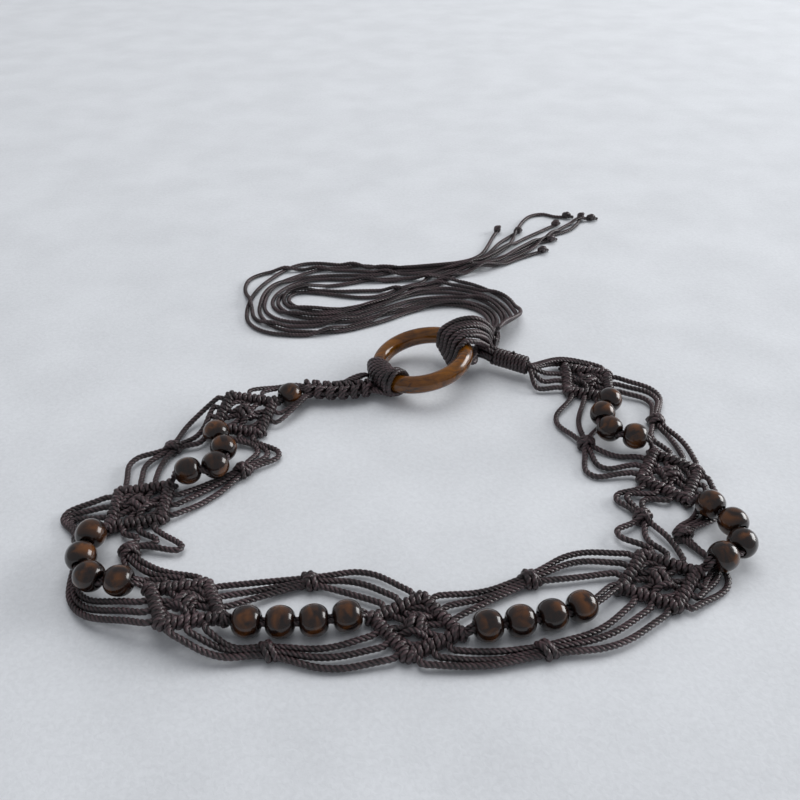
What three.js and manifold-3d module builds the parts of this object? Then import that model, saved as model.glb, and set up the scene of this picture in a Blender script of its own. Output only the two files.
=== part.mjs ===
// A macrame belt laid on a table: eight waxed cords knotted into seven pierced diamonds, with strings of
// wooden beads between them, bound to a wooden ring at one end and hitched through it at the other.
// Millimetres, +Z up. The belt's loop lies on z = 0 with its middle at the origin.
import * as THREE from "three";
import { mergeVertices } from "three/addons/utils/BufferGeometryUtils.js";
import Module from "manifold-3d";

const wasm = await Module();
wasm.setup();

// Cords
const CORD_DIAMETER = 2.5;
const CLEARANCE = 0.3; // between pieces that touch on the real belt
const STRAND_WIDTH = 3; // corner to corner of a four-sided strand as thick as its cord
const STRAND_SIDES = 4;

// Knotted diamonds
const MOTIF_LENGTH = 38;
const MOTIF_WIDTH = 33;
const SIDE_THICKNESS = 5.4; // a holding cord inside its hitches
const HITCHES_PER_SIDE = 3;
const CENTRE_KNOT_LENGTH = 9.5;
const CENTRE_KNOT_WIDTH = 9;
const CENTRE_KNOT_HEIGHT = 5.6;

// Wooden beads
const BEAD_DIAMETER = 12;
const BEAD_LENGTH = 11;
const BEAD_BORE = 5; // for two cords side by side
const BEAD_SIDES = 10;
const BEADS_PER_STRING = 4;
const BEAD_GAP = 1.5; // bare cord between two beads of a straight string
const TIP_GAP = 6.5; // bare cord from a diamond's tip to its string

// Gathering knots of the side strands
const GATHER_LENGTH = 6.5;
const GATHER_WIDTH = 9;
const GATHER_HEIGHT = 5.6;

// Wooden ring
const RING_DIAMETER = 54;
const RING_WIRE_WIDTH = 8;
const RING_WIRE_HEIGHT = 9.5;
const RING_TILT = 11; // degrees, raised on the side that the neck passes under
const RING_SEGMENTS = 24;
const RING_SIDES = 8;

// Coils on the ring, the hitch over it and the wrapped neck
const RING_WRAP_COILS = 9;
const RING_WRAP_ANGLE = 210; // degrees round the ring, from +X
const HITCH_CORDS = 7; // cords that lie side by side over the ring
const HITCH_ANGLE = 30;
const NECK_COILS = 8;
const NECK_DIAMETER = 9.2;
const BUNDLE_DIAMETER = 7; // eight cords pressed together

// The square-knot band
const BAND_WIDTH = 11.5;
const BAND_THICKNESS = 5;
const BAND_KNOT_PITCH = 5.6;

// The free ends, in three bundles
const TIE_BUNDLE_DIAMETER = 5;
const END_KNOT_DIAMETER = 6;

const BEAD_PITCH = BEAD_LENGTH + BEAD_GAP;
const MOTIF_PITCH = MOTIF_LENGTH + BEADS_PER_STRING * BEAD_PITCH + 2 * TIP_GAP;
const SIDE_RADIUS = SIDE_THICKNESS / 2;
const CORD_RADIUS = CORD_DIAMETER / 2;
const BEAD_CORD_DIAMETER = BEAD_BORE - 6 * CLEARANCE;

// Where each diamond lies: its middle as shares of MOTIF_PITCH, its heading and its lean in degrees
const MOTIFS = [
  { x: -0.757, y: 0.384, heading: -141, lean: -14 },
  { x: -1.122, y: -0.23, heading: -127, lean: 0 },
  { x: -0.807, y: -0.797, heading: -25, lean: -13 },
  { x: 0.059, y: -0.876, heading: -12, lean: 0 },
  { x: 1.015, y: -0.653, heading: 14.5, lean: 0 },
  { x: 1.216, y: -0.03, heading: 102, lean: 0 },
  { x: 0.975, y: 0.703, heading: 124, lean: 0 },
];
const RING_PLACE = { x: 0.115, y: 0.782 };

// Way of each bead string: its length as a share of the longest one (0 where the tips lie as far apart as the
// string is long), the angles at which it leaves one tip and reaches the next, measured to the left of the
// straight line, the share of the bare cord before the first bead, and how high the middle beads are lifted
// by the strands under them, in cord diameters
const BEAD_STRINGS = [
  { length: 0.84, leaves: 52, arrives: -75, slack: 0.65, lift: 1.4 },
  { length: 0.88, leaves: -46, arrives: 57, slack: 0.5, lift: 1.6 },
  { length: 0, leaves: -8, arrives: 14, slack: 0.5, lift: 0 },
  { length: 0, leaves: -8, arrives: 30, slack: 0.15, lift: 0 },
  { length: 0.86, leaves: -70, arrives: 50, slack: 0.4, lift: 1.2 },
  { length: 0.88, leaves: 65, arrives: -45, slack: 0.4, lift: 1.2 },
];

// Side strands: the gathering knot's place as shares of MOTIF_PITCH, how far each of the three cords,
// outermost first, swings to the left of the straight line before and after that knot, as shares too, and
// how high they lie there, in cord diameters
const STRANDS = [
  { section: 1, side: "outer", x: -1.064, y: 0.161, before: [-0.05, 0.02, 0.05], after: [-0.09, -0.05, -0.02], height: 1 },
  { section: 1, side: "inner", x: -0.713, y: 0.004, before: [0.135, 0.12, 0.11], after: [0.02, 0, 0], height: 0.5 },
  { section: 2, side: "outer", x: -1.31, y: -0.43, before: [-0.14, -0.135, -0.13], after: [-0.17, -0.16, -0.15], height: 0.5 },
  { section: 2, side: "inner", x: -1.1, y: -0.5, before: [0.18, 0.1, 0.05], after: [-0.03, -0.04, -0.05], height: 1 },
  { section: 3, side: "outer", x: -0.474, y: -0.99, before: [-0.05, -0.03, -0.03], after: [-0.07, -0.04, -0.02], height: 1 },
  { section: 3, side: "inner", x: -0.352, y: -0.659, before: [0.01, 0, 0], after: [0.1, 0.05, -0.01], height: 1 },
  { section: 4, side: "outer", x: 0.525, y: -0.985, before: [-0.05, -0.03, -0.01], after: [-0.07, -0.05, -0.03], height: 1 },
  { section: 4, side: "inner", x: 0.509, y: -0.649, before: [-0.01, -0.01, 0], after: [0.08, 0.05, -0.02], height: 1 },
  { section: 5, side: "outer", x: 1.175, y: -0.4, before: [-0.16, -0.12, -0.09], after: [-0.1, -0.06, -0.03], height: 0.5 },
  { section: 5, side: "inner", x: 1.03, y: -0.3, before: [0.11, 0.03, -0.02], after: [0.11, 0.1, 0.07], height: 1 },
  { section: 6, side: "outer", x: 1.251, y: 0.37, before: [-0.03, -0.02, 0.04], after: [-0.13, -0.12, -0.1], height: 1 },
  { section: 6, side: "inner", x: 0.879, y: 0.199, before: [0.14, 0.1, 0.02], after: [0.1, 0.03, -0.04], height: 0.5 },
];

// Where the three strands leave one side of a diamond, as shares of the way from its corner to its tip
const PORTS = [0.12, 0.42, 0.72];

// The wrapped neck: its middle as shares of MOTIF_PITCH and its heading, towards the ring
const NECK_PLACE = { x: 0.585, y: 0.835, heading: 150 };

// How the bare cords run from the neck to the last diamond, as its side and port, the swing to the left as a
// share of MOTIF_PITCH and the height in cord diameters
const FAN = [
  { side: -1, port: 0, swing: 0.09, height: 1.6 },
  { side: -1, port: 1, swing: 0.05, height: 2.2 },
  { side: -1, port: 2, swing: 0.045, height: 1.2 },
  { side: 1, port: 2, swing: -0.01, height: 1.8 },
  { side: 1, port: 1, swing: -0.03, height: 1.2 },
  { side: 1, port: 0, swing: -0.06, height: 1 },
];

// Ways of the free ends, as shares of MOTIF_PITCH: from the hitch back along the table in a long loop
const TIE_ROUTES = {
  inner: [
    [0.46, 1.08], [0.5, 1.19], [0.54, 1.3], [0.54, 1.41], [0.49, 1.5], [0.4, 1.55],
    [0.29, 1.57], [0.16, 1.55], [0.04, 1.5], [-0.07, 1.42], [-0.18, 1.35], [-0.29, 1.29],
    [-0.41, 1.24], [-0.56, 1.22], [-0.73, 1.26], [-0.84, 1.38], [-0.87, 1.55], [-0.85, 1.73],
    [-0.79, 1.86], [-0.68, 1.96], [-0.5, 2.02], [-0.29, 2.03], [-0.08, 2.02], [0.09, 1.98],
    [0.26, 2.06], [0.44, 2.19], [0.6, 2.26], [0.68, 2.37], [0.71, 2.49], [0.69, 2.61],
  ],
  middle: [
    [0.53, 1.06], [0.57, 1.17], [0.61, 1.29], [0.61, 1.43], [0.56, 1.54], [0.47, 1.62],
    [0.37, 1.66], [0.24, 1.67], [0.12, 1.65], [0, 1.58], [-0.12, 1.5], [-0.24, 1.43],
    [-0.37, 1.38], [-0.54, 1.35], [-0.69, 1.39], [-0.78, 1.5], [-0.79, 1.64], [-0.76, 1.75],
    [-0.66, 1.86], [-0.48, 1.9], [-0.29, 1.9], [-0.1, 1.89], [0.1, 1.89], [0.3, 1.98],
    [0.48, 2.08], [0.64, 2.17], [0.78, 2.3], [0.9, 2.45], [1, 2.6], [1.1, 2.72],
  ],
  outer: [
    [0.6, 1.04], [0.63, 1.15], [0.67, 1.28], [0.68, 1.43], [0.63, 1.58], [0.53, 1.68],
    [0.42, 1.74], [0.3, 1.78], [0.18, 1.77], [0.07, 1.71], [-0.03, 1.64], [-0.15, 1.56],
    [-0.31, 1.49], [-0.5, 1.46], [-0.63, 1.48], [-0.71, 1.56], [-0.72, 1.64], [-0.66, 1.69],
    [-0.54, 1.71], [-0.39, 1.72], [-0.23, 1.74], [-0.09, 1.77], [0.02, 1.79], [0.14, 1.83],
    [0.32, 1.9], [0.5, 2], [0.68, 2.1], [0.85, 2.24], [1.02, 2.45], [1.2, 2.64],
    [1.37, 2.76],
  ],
};
const TIE_STEPS = 24;

const cordMaterial = new THREE.MeshStandardMaterial({ color: 0x3c2e2e, roughness: 0.62, metalness: 0 });
const beadMaterial = new THREE.MeshStandardMaterial({ color: 0x3a2116, roughness: 0.25, metalness: 0 });
const ringMaterial = new THREE.MeshStandardMaterial({ color: 0x7a4c1c, roughness: 0.22, metalness: 0 });

const belt = new THREE.Group();
const radians = THREE.MathUtils.degToRad;

function vector(x, y, z = 0) {
  return new THREE.Vector3(x, y, z);
}

// A closed geometry as a solid that can be joined and cut
function solidOf(geometry) {
  const bare = geometry.index ? geometry.toNonIndexed() : geometry.clone();
  bare.deleteAttribute("normal");
  bare.deleteAttribute("uv");
  const merged = mergeVertices(bare, 1e-3);
  const triVerts = new Uint32Array(merged.index.array);
  return new wasm.Manifold(
    new wasm.Mesh({ numProp: 3, vertProperties: merged.attributes.position.array, triVerts }),
  );
}

function fused(geometries) {
  return geometries.map(solidOf).reduce((whole, next) => whole.add(next));
}

function geometryOf(solid) {
  const mesh = solid.getMesh();
  const geometry = new THREE.BufferGeometry();
  geometry.setAttribute("position", new THREE.BufferAttribute(mesh.vertProperties, 3));
  geometry.setIndex(new THREE.BufferAttribute(mesh.triVerts, 1));
  geometry.computeVertexNormals();
  return geometry;
}

function addPiece(name, geometry, material, matrix = new THREE.Matrix4()) {
  const mesh = new THREE.Mesh(geometry, material);
  mesh.name = name;
  mesh.applyMatrix4(matrix);
  belt.add(mesh);
}

function regularSection(radiusX, radiusY, sides) {
  const shape = new THREE.Shape();
  for (let i = 0; i < sides; i++) {
    const angle = (2 * Math.PI * (i + 0.5)) / sides;
    const x = radiusX * Math.cos(angle);
    const y = radiusY * Math.sin(angle);
    if (i === 0) shape.moveTo(x, y);
    else shape.lineTo(x, y);
  }
  shape.closePath();
  return shape;
}

function smoothCurve(points) {
  return new THREE.CatmullRomCurve3(points, false, "centripetal");
}

// The straight lines between points, stepped from one point to the next
class Polyline extends THREE.Curve {
  constructor(points) {
    super();
    this.points = points;
  }

  getPoint(t, target = vector(0, 0)) {
    const place = t * (this.points.length - 1);
    const index = Math.max(0, Math.min(Math.floor(place), this.points.length - 2));
    return target.lerpVectors(this.points[index], this.points[index + 1], place - index);
  }

  getPointAt(u, target) {
    return this.getPoint(u, target);
  }

  getTangentAt(u, target) {
    return this.getTangent(u, target);
  }
}

function tubeThrough(points, diameter, sides) {
  const section = regularSection(diameter / 2, diameter / 2, sides);
  const extrudePath = new Polyline(points);
  return new THREE.ExtrudeGeometry(section, { steps: points.length - 1, extrudePath, bevelEnabled: false });
}

function tubeAlong(curve, diameter, sides, stepLength) {
  const steps = Math.max(2, Math.round(curve.getLength() / stepLength));
  return tubeThrough(curve.getSpacedPoints(steps), diameter, sides);
}

// A turned form along the line between two points, from a profile of [share of the length, radius]
function turnedBetween(from, to, profile, sides) {
  const length = from.distanceTo(to);
  const points = profile.map(([share, radius]) => new THREE.Vector2(radius, share * length));
  const geometry = new THREE.LatheGeometry(points, sides);
  geometry.rotateY(Math.PI / sides);
  const along = to.clone().sub(from).normalize();
  const turn = new THREE.Quaternion().setFromUnitVectors(vector(0, 1, 0), along);
  geometry.applyQuaternion(turn);
  geometry.translate(from.x, from.y, from.z);
  return geometry;
}

// Ribs of equal length: a crest in the middle of each and a valley between two
function ribbedProfile(ribs, valleyRadius, crestRadius) {
  const profile = [[0, 0]];
  for (let i = 0; i < ribs; i++) {
    profile.push([i / (ribs - 1), crestRadius]);
    if (i < ribs - 1) profile.push([(i + 0.5) / (ribs - 1), valleyRadius]);
  }
  profile.push([1, 0]);
  return profile;
}

// Diamonds

const HALF_LENGTH = MOTIF_LENGTH / 2 - SIDE_RADIUS; // to the middle of the sides' cords
const HALF_WIDTH = MOTIF_WIDTH / 2 - SIDE_RADIUS;

function motifMatrix(row) {
  const lean = radians(row.lean);
  const rise = SIDE_RADIUS + Math.abs(Math.sin(lean)) * HALF_WIDTH;
  const matrix = new THREE.Matrix4().makeTranslation(row.x * MOTIF_PITCH, row.y * MOTIF_PITCH, rise);
  matrix.multiply(new THREE.Matrix4().makeRotationZ(radians(row.heading)));
  return matrix.multiply(new THREE.Matrix4().makeRotationX(lean));
}

const motifMatrices = MOTIFS.map(motifMatrix);

// In a diamond's own frame: +X is the way the belt runs, +Y is towards the wearer
function motifTip(end) {
  return vector(end * HALF_LENGTH, 0);
}

function motifCorner(side) {
  return vector(0, side * HALF_WIDTH);
}

function motifGeometry() {
  const sideProfile = ribbedProfile(HITCHES_PER_SIDE, SIDE_RADIUS * 0.8, SIDE_RADIUS);
  const pieces = [];
  for (const end of [-1, 1]) {
    for (const side of [-1, 1]) {
      pieces.push(turnedBetween(motifTip(end), motifCorner(side), sideProfile, 5));
    }
  }
  for (const side of [-1, 1]) {
    const from = motifCorner(side).lerp(motifTip(-1), PORTS[1]);
    const cord = [[0, 0], [0, CORD_RADIUS], [1, CORD_RADIUS], [1, 0]];
    pieces.push(turnedBetween(from, from.clone().negate(), cord, 4));
  }
  const knot = new THREE.CylinderGeometry(0.5, 0.5, CENTRE_KNOT_HEIGHT, 6);
  knot.scale(CENTRE_KNOT_LENGTH, 1, CENTRE_KNOT_WIDTH);
  knot.rotateX(Math.PI / 2);
  knot.translate(0, 0, CENTRE_KNOT_HEIGHT / 2 - SIDE_RADIUS);
  pieces.push(knot);
  return geometryOf(fused(pieces));
}

// Where a strand leaves a diamond's side, square to it, and the way it points there
function motifPort(index, end, side, share) {
  const outward = vector(end * HALF_WIDTH, side * HALF_LENGTH).normalize();
  const place = motifCorner(side).lerp(motifTip(end), share);
  place.addScaledVector(outward, SIDE_RADIUS + CLEARANCE);
  const matrix = motifMatrices[index];
  return { place: place.applyMatrix4(matrix), outward: outward.transformDirection(matrix) };
}

function tipPort(index, end) {
  const outward = vector(end, 0);
  const place = motifTip(end).addScaledVector(outward, SIDE_RADIUS + CLEARANCE);
  const matrix = motifMatrices[index];
  return { place: place.applyMatrix4(matrix), outward: outward.transformDirection(matrix) };
}

MOTIFS.forEach((row, i) => addPiece("motif_" + (i + 1), motifGeometry(), cordMaterial, motifMatrices[i]));

// Bead strings

function beadGeometry() {
  const half = BEAD_LENGTH / 2;
  const radius = BEAD_DIAMETER / 2;
  const bore = BEAD_BORE / 2;
  const outline = [
    [-half, bore],
    [-half * 0.5, radius],
    [half * 0.5, radius],
    [half, bore],
    [-half, bore],
  ];
  const profile = outline.map(([along, across]) => new THREE.Vector2(across, along));
  return new THREE.LatheGeometry(profile, BEAD_SIDES);
}

function turned(direction, degrees) {
  return direction.clone().applyAxisAngle(vector(0, 0, 1), radians(degrees));
}

function planCurve(from, to, row, reach) {
  const along = to.clone().sub(from).normalize();
  const first = from.clone().addScaledVector(turned(along, row.leaves), reach);
  const second = to.clone().addScaledVector(turned(along, row.arrives), -reach);
  return new THREE.CubicBezierCurve3(from, first, second, to);
}

// The curve in plan whose length is the one asked for, or the plain one where the tips lie further apart
function planCurveOfLength(from, to, row, length) {
  let low = from.distanceTo(to) / 3;
  let high = length;
  if (planCurve(from, to, row, low).getLength() > length) return planCurve(from, to, row, low);
  for (let i = 0; i < 30; i++) {
    const middle = (low + high) / 2;
    if (planCurve(from, to, row, middle).getLength() < length) low = middle;
    else high = middle;
  }
  return planCurve(from, to, row, low);
}

const BEAD_HEIGHT = BEAD_DIAMETER / 2; // the beads lie on the table
const CORD_RISE = SIDE_RADIUS * 0.7; // the bead cords leave the upper half of a tip

BEAD_STRINGS.forEach((row, i) => {
  const from = tipPort(i, 1).place.add(vector(0, 0, CORD_RISE));
  const to = tipPort(i + 1, -1).place.add(vector(0, 0, CORD_RISE));
  const longest = BEADS_PER_STRING * BEAD_PITCH + 2 * TIP_GAP;
  const plan = planCurveOfLength(from.clone().setZ(0), to.clone().setZ(0), row, row.length * longest);
  const length = plan.getLength();
  const placeAt = (distance) => {
    const share = distance / length;
    const ramp = Math.min(1, distance / (BEAD_LENGTH / 2), (length - distance) / (BEAD_LENGTH / 2));
    const lift = row.lift * CORD_DIAMETER * ramp;
    return plan.getPointAt(share).setZ(BEAD_HEIGHT + lift);
  };
  const spare = length - (BEADS_PER_STRING - 1) * BEAD_PITCH - BEAD_LENGTH;
  const cord = [from];
  for (let bead = 0; bead < BEADS_PER_STRING; bead++) {
    const distance = spare * row.slack + BEAD_LENGTH / 2 + bead * BEAD_PITCH;
    const middle = placeAt(distance);
    const along = placeAt(distance + BEAD_LENGTH / 4).sub(placeAt(distance - BEAD_LENGTH / 4)).normalize();
    const turn = new THREE.Quaternion().setFromUnitVectors(vector(0, 1, 0), along);
    const matrix = new THREE.Matrix4().compose(middle, turn, vector(1, 1, 1));
    addPiece(`bead_${i + 1}_${bead + 1}`, beadGeometry(), beadMaterial, matrix);
    const half = BEAD_LENGTH / 2 + CLEARANCE;
    cord.push(middle.clone().addScaledVector(along, -half), middle.clone().addScaledVector(along, half));
  }
  cord.push(to);
  addPiece("bead_cord_" + (i + 1), tubeThrough(cord, BEAD_CORD_DIAMETER, 5), cordMaterial);
});

// Side strands with their gathering knots

function strandsGeometry(row) {
  const side = row.side === "inner" ? 1 : -1;
  const knot = vector(row.x, row.y).multiplyScalar(MOTIF_PITCH).setZ(GATHER_HEIGHT / 2);
  const middle = PORTS[1];
  const first = motifPort(row.section - 1, 1, side, middle).place;
  const last = motifPort(row.section, -1, side, middle).place;
  const along = last.clone().sub(first).setZ(0).normalize();
  const left = vector(-along.y, along.x);
  const pieces = PORTS.map((share, k) => {
    const start = motifPort(row.section - 1, 1, side, share);
    const end = motifPort(row.section, -1, side, share);
    const inKnot = knot.clone().addScaledVector(left, side * (1 - k) * CORD_DIAMETER * 1.03);
    const points = [
      start.place,
      start.place.clone().addScaledVector(start.outward, CORD_DIAMETER),
      swung(start.place, inKnot, row.before[k], row.height),
      inKnot,
      swung(inKnot, end.place, row.after[k], row.height),
      end.place.clone().addScaledVector(end.outward, CORD_DIAMETER),
      end.place,
    ];
    return tubeThrough(strandPoints(points), STRAND_WIDTH, STRAND_SIDES);
  });
  const blob = new THREE.CylinderGeometry(0.5, 0.5, 1, 6).rotateZ(Math.PI / 2);
  blob.scale(GATHER_LENGTH, GATHER_WIDTH, GATHER_HEIGHT);
  blob.rotateZ(Math.atan2(along.y, along.x));
  blob.translate(knot.x, knot.y, knot.z);
  return geometryOf(fused([...pieces, blob]));
}

// One step for the stub at each end, and more where the cord bends most
function strandPoints(points) {
  const curve = smoothCurve(points);
  const last = points.length - 1;
  const stops = [0];
  for (const stop of [1, 1.6, 2.2, 3, 3.8, 4.4, 5]) stops.push(stop / last);
  return [...stops, 1].map((share) => curve.getPoint(share));
}

// The middle of the way between two points, moved to the left of it and laid at its own height
function swung(from, to, share, height) {
  const along = to.clone().sub(from).setZ(0).normalize();
  const middle = from.clone().lerp(to, 0.5);
  middle.addScaledVector(vector(-along.y, along.x), share * MOTIF_PITCH);
  return middle.setZ(height * CORD_DIAMETER);
}

for (const row of STRANDS) {
  addPiece(`strands_${row.section}_${row.side}`, strandsGeometry(row), cordMaterial);
}

// Ring

const RING_RADIUS = (RING_DIAMETER - RING_WIRE_WIDTH) / 2;
const tilt = radians(RING_TILT);
const RING_HEIGHT = CORD_DIAMETER + 2 * CLEARANCE + RING_WIRE_HEIGHT / 2 + RING_RADIUS * Math.sin(tilt);
const ringMatrix = new THREE.Matrix4()
  .makeTranslation(RING_PLACE.x * MOTIF_PITCH, RING_PLACE.y * MOTIF_PITCH, RING_HEIGHT)
  .multiply(new THREE.Matrix4().makeRotationY(-tilt));

function ringGeometry(grow = 0) {
  const profile = [];
  for (let i = 0; i <= RING_SIDES; i++) {
    const angle = (2 * Math.PI * i) / RING_SIDES;
    const across = RING_RADIUS + (RING_WIRE_WIDTH / 2 + grow) * Math.cos(angle);
    profile.push(new THREE.Vector2(across, (RING_WIRE_HEIGHT / 2 + grow) * Math.sin(angle)));
  }
  return new THREE.LatheGeometry(profile, RING_SEGMENTS).rotateX(Math.PI / 2);
}

// A point by the ring: its angle round the ring, how far out from the wire's middle and how high above it
function ringPoint(degrees, outwards, upwards) {
  const angle = radians(degrees);
  const radius = RING_RADIUS + outwards;
  return vector(radius * Math.cos(angle), radius * Math.sin(angle), upwards).applyMatrix4(ringMatrix);
}

// Coils side by side round the ring's wire, as one thick sleeve that is cut out for the ring afterwards
function sleeveGeometry(middleDegrees, cords) {
  const halfAngle = (cords * CORD_DIAMETER) / RING_RADIUS / 2;
  const middle = radians(middleDegrees);
  const outside = CLEARANCE + CORD_DIAMETER;
  const section = regularSection(RING_WIRE_HEIGHT / 2 + outside, RING_WIRE_WIDTH / 2 + outside, RING_SIDES);
  const arc = [];
  const steps = 4;
  for (let i = 0; i <= steps; i++) {
    const angle = middle + halfAngle * ((2 * i) / steps - 1);
    arc.push(vector(RING_RADIUS * Math.cos(angle), RING_RADIUS * Math.sin(angle)));
  }
  return new THREE.ExtrudeGeometry(section, { steps, extrudePath: new Polyline(arc), bevelEnabled: false });
}

// Pieces joined into one, with room in it for the ring
function fusedRoundRing(geometries) {
  const room = ringGeometry(CLEARANCE).applyMatrix4(ringMatrix);
  return geometryOf(fused(geometries).subtract(solidOf(room)));
}

const ringWrapSleeve = sleeveGeometry(RING_WRAP_ANGLE, RING_WRAP_COILS).applyMatrix4(ringMatrix);
addPiece("ring", ringGeometry(), ringMaterial, ringMatrix);
addPiece("ring_wrap", fusedRoundRing([ringWrapSleeve]), cordMaterial);

// The square-knot band from the ring to the first diamond, which opens round one bead

const bandTip = tipPort(0, -1);
const bandHeading = bandTip.outward.clone().setZ(0).normalize();
const neckBeadPlace = bandTip.place.clone().addScaledVector(bandHeading, BEAD_LENGTH / 2 + BEAD_GAP);
neckBeadPlace.setZ(BEAD_HEIGHT);
const bandEnd = neckBeadPlace.clone().addScaledVector(bandHeading, BEAD_LENGTH / 2 + CORD_DIAMETER * 1.4);
const wrapOutside = RING_WIRE_WIDTH / 2 + CORD_DIAMETER * 1.6 + CLEARANCE * 3;

function bandKnot(from, to) {
  const profile = [[0, 0], [0, 0.38], [0.5, 0.5], [1, 0.38], [1, 0]];
  const points = profile.map(([share, radius]) => new THREE.Vector2(radius, share - 0.5));
  const knot = new THREE.LatheGeometry(points, 6);
  knot.scale(BAND_WIDTH, from.distanceTo(to) * 1.2, BAND_THICKNESS * 1.15);
  knot.rotateZ(-Math.PI / 2);
  const along = to.clone().sub(from);
  knot.rotateY(-Math.asin(along.z / along.length()));
  knot.rotateZ(Math.atan2(along.y, along.x));
  const middle = from.clone().lerp(to, 0.5);
  return knot.translate(middle.x, middle.y, middle.z);
}

function sennitGeometry() {
  const atRing = ringPoint(RING_WRAP_ANGLE, wrapOutside, -RING_WIRE_HEIGHT * 0.2);
  const bend = bandEnd.clone().lerp(atRing, 0.5).add(vector(0, -CORD_DIAMETER, 0));
  const way = smoothCurve([bandEnd, bend, atRing]);
  const knots = Math.round(way.getLength() / BAND_KNOT_PITCH);
  const places = way.getSpacedPoints(knots);
  const pieces = [];
  for (let i = 0; i < knots; i++) pieces.push(bandKnot(places[i], places[i + 1]));
  const core = [-0.5, 0.5].map((share) => neckBeadPlace.clone().addScaledVector(bandHeading, share * BEAD_LENGTH));
  const coreEnd = bandEnd.clone().addScaledVector(bandHeading, BAND_KNOT_PITCH / 2);
  const coreStart = bandTip.place.clone().setZ(BEAD_HEIGHT);
  pieces.push(tubeThrough([coreStart, ...core, coreEnd], BEAD_CORD_DIAMETER, 5));
  const across = vector(-bandHeading.y, bandHeading.x);
  for (const side of [-1, 1]) {
    const port = motifPort(0, -1, -side, PORTS[2]);
    const beside = neckBeadPlace.clone();
    beside.addScaledVector(across, side * (BEAD_DIAMETER / 2 + CORD_DIAMETER));
    const stub = port.place.clone().addScaledVector(port.outward, CORD_DIAMETER);
    const start = places[0].clone().lerp(places[1], 0.5).addScaledVector(across, side * BAND_WIDTH * 0.3);
    const points = [start, beside, stub, port.place];
    pieces.push(tubeThrough(smoothCurve(points).getPoints(5), STRAND_WIDTH, STRAND_SIDES));
  }
  return geometryOf(fused(pieces));
}

const alongBand = new THREE.Quaternion().setFromUnitVectors(vector(0, 1, 0), bandHeading);
const neckBeadMatrix = new THREE.Matrix4().compose(neckBeadPlace, alongBand, vector(1, 1, 1));
addPiece("neck_bead", beadGeometry(), beadMaterial, neckBeadMatrix);
addPiece("sennit", sennitGeometry(), cordMaterial);

// The wrapped neck, the fan of cords behind it and the hitch over the ring

const NECK_LENGTH = NECK_COILS * CORD_DIAMETER;
const neckMiddle = vector(NECK_PLACE.x, NECK_PLACE.y).multiplyScalar(MOTIF_PITCH).setZ(NECK_DIAMETER * 0.6);
const neckHeading = turned(vector(1, 0), NECK_PLACE.heading);
const neckFront = neckMiddle.clone().addScaledVector(neckHeading, NECK_LENGTH / 2);
const neckBack = neckMiddle.clone().addScaledVector(neckHeading, -NECK_LENGTH / 2);
const neckProfile = ribbedProfile(NECK_COILS, NECK_DIAMETER * 0.43, NECK_DIAMETER / 2);
addPiece("neck_wrap", turnedBetween(neckBack, neckFront, neckProfile, 6), cordMaterial);

function fanGeometry() {
  const last = MOTIFS.length - 1;
  const mouth = neckBack.clone().addScaledVector(neckHeading, -CLEARANCE);
  const collarEnd = mouth.clone().addScaledVector(neckHeading, -CORD_DIAMETER);
  const collar = [[0, 0], [0, BUNDLE_DIAMETER / 2], [1, BUNDLE_DIAMETER * 0.4], [1, 0]];
  const across = vector(-neckHeading.y, neckHeading.x);
  const pieces = [turnedBetween(mouth, collarEnd, collar, 8)];
  FAN.forEach((row, i) => {
    const port = motifPort(last, 1, row.side, PORTS[row.port]);
    const start = collarEnd.clone().addScaledVector(neckHeading, CORD_RADIUS);
    start.addScaledVector(across, ((FAN.length - 1) / 2 - i) * -CORD_RADIUS * 0.7);
    const stub = port.place.clone().addScaledVector(port.outward, CORD_DIAMETER);
    const points = [start, swung(start, stub, row.swing, row.height), stub, port.place];
    pieces.push(tubeThrough(smoothCurve(points).getPoints(5), STRAND_WIDTH, STRAND_SIDES));
  });
  const tip = tipPort(last, 1);
  const tipStub = tip.place.clone().addScaledVector(tip.outward, CORD_DIAMETER);
  const tipCord = [collarEnd.clone().addScaledVector(neckHeading, CORD_RADIUS), tipStub, tip.place];
  pieces.push(tubeThrough(tipCord, STRAND_WIDTH, STRAND_SIDES));
  return geometryOf(fused(pieces));
}

addPiece("neck_fan", fanGeometry(), cordMaterial);

function tiePoints(name) {
  return TIE_ROUTES[name].map(([x, y]) => {
    return vector(x, y).multiplyScalar(MOTIF_PITCH).setZ(TIE_BUNDLE_DIAMETER / 2);
  });
}

function hitchGeometry() {
  const sleeve = sleeveGeometry(HITCH_ANGLE, HITCH_CORDS).applyMatrix4(ringMatrix);
  const mouth = neckFront.clone().addScaledVector(neckHeading, CLEARANCE);
  const under = ringPoint(HITCH_ANGLE, 0, -RING_WIRE_HEIGHT / 2 - CLEARANCE - CORD_RADIUS);
  const incoming = [mouth, mouth.clone().addScaledVector(neckHeading, CORD_DIAMETER), under];
  const over = ringPoint(HITCH_ANGLE, 0, RING_WIRE_HEIGHT / 2);
  const meet = tiePoints("middle")[0].add(vector(0, -TIE_BUNDLE_DIAMETER, TIE_BUNDLE_DIAMETER / 2));
  const crest = over.clone().lerp(meet, 0.45).setZ(over.z + CORD_RADIUS);
  const outgoing = smoothCurve([over, crest, meet]);
  const pieces = [
    sleeve,
    tubeThrough(incoming, BUNDLE_DIAMETER, 6),
    tubeThrough(outgoing.getPoints(4), BUNDLE_DIAMETER, 6),
  ];
  for (const name of Object.keys(TIE_ROUTES)) {
    const [start, next] = tiePoints(name);
    const back = start.clone().sub(next).normalize();
    const face = start.clone().addScaledVector(back, CLEARANCE);
    const bend = face.clone().addScaledVector(back, CORD_DIAMETER);
    pieces.push(tubeThrough([face, bend, meet], TIE_BUNDLE_DIAMETER, 6));
  }
  return fusedRoundRing(pieces);
}

addPiece("ring_hitch", hitchGeometry(), cordMaterial);

// The free ends

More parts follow.
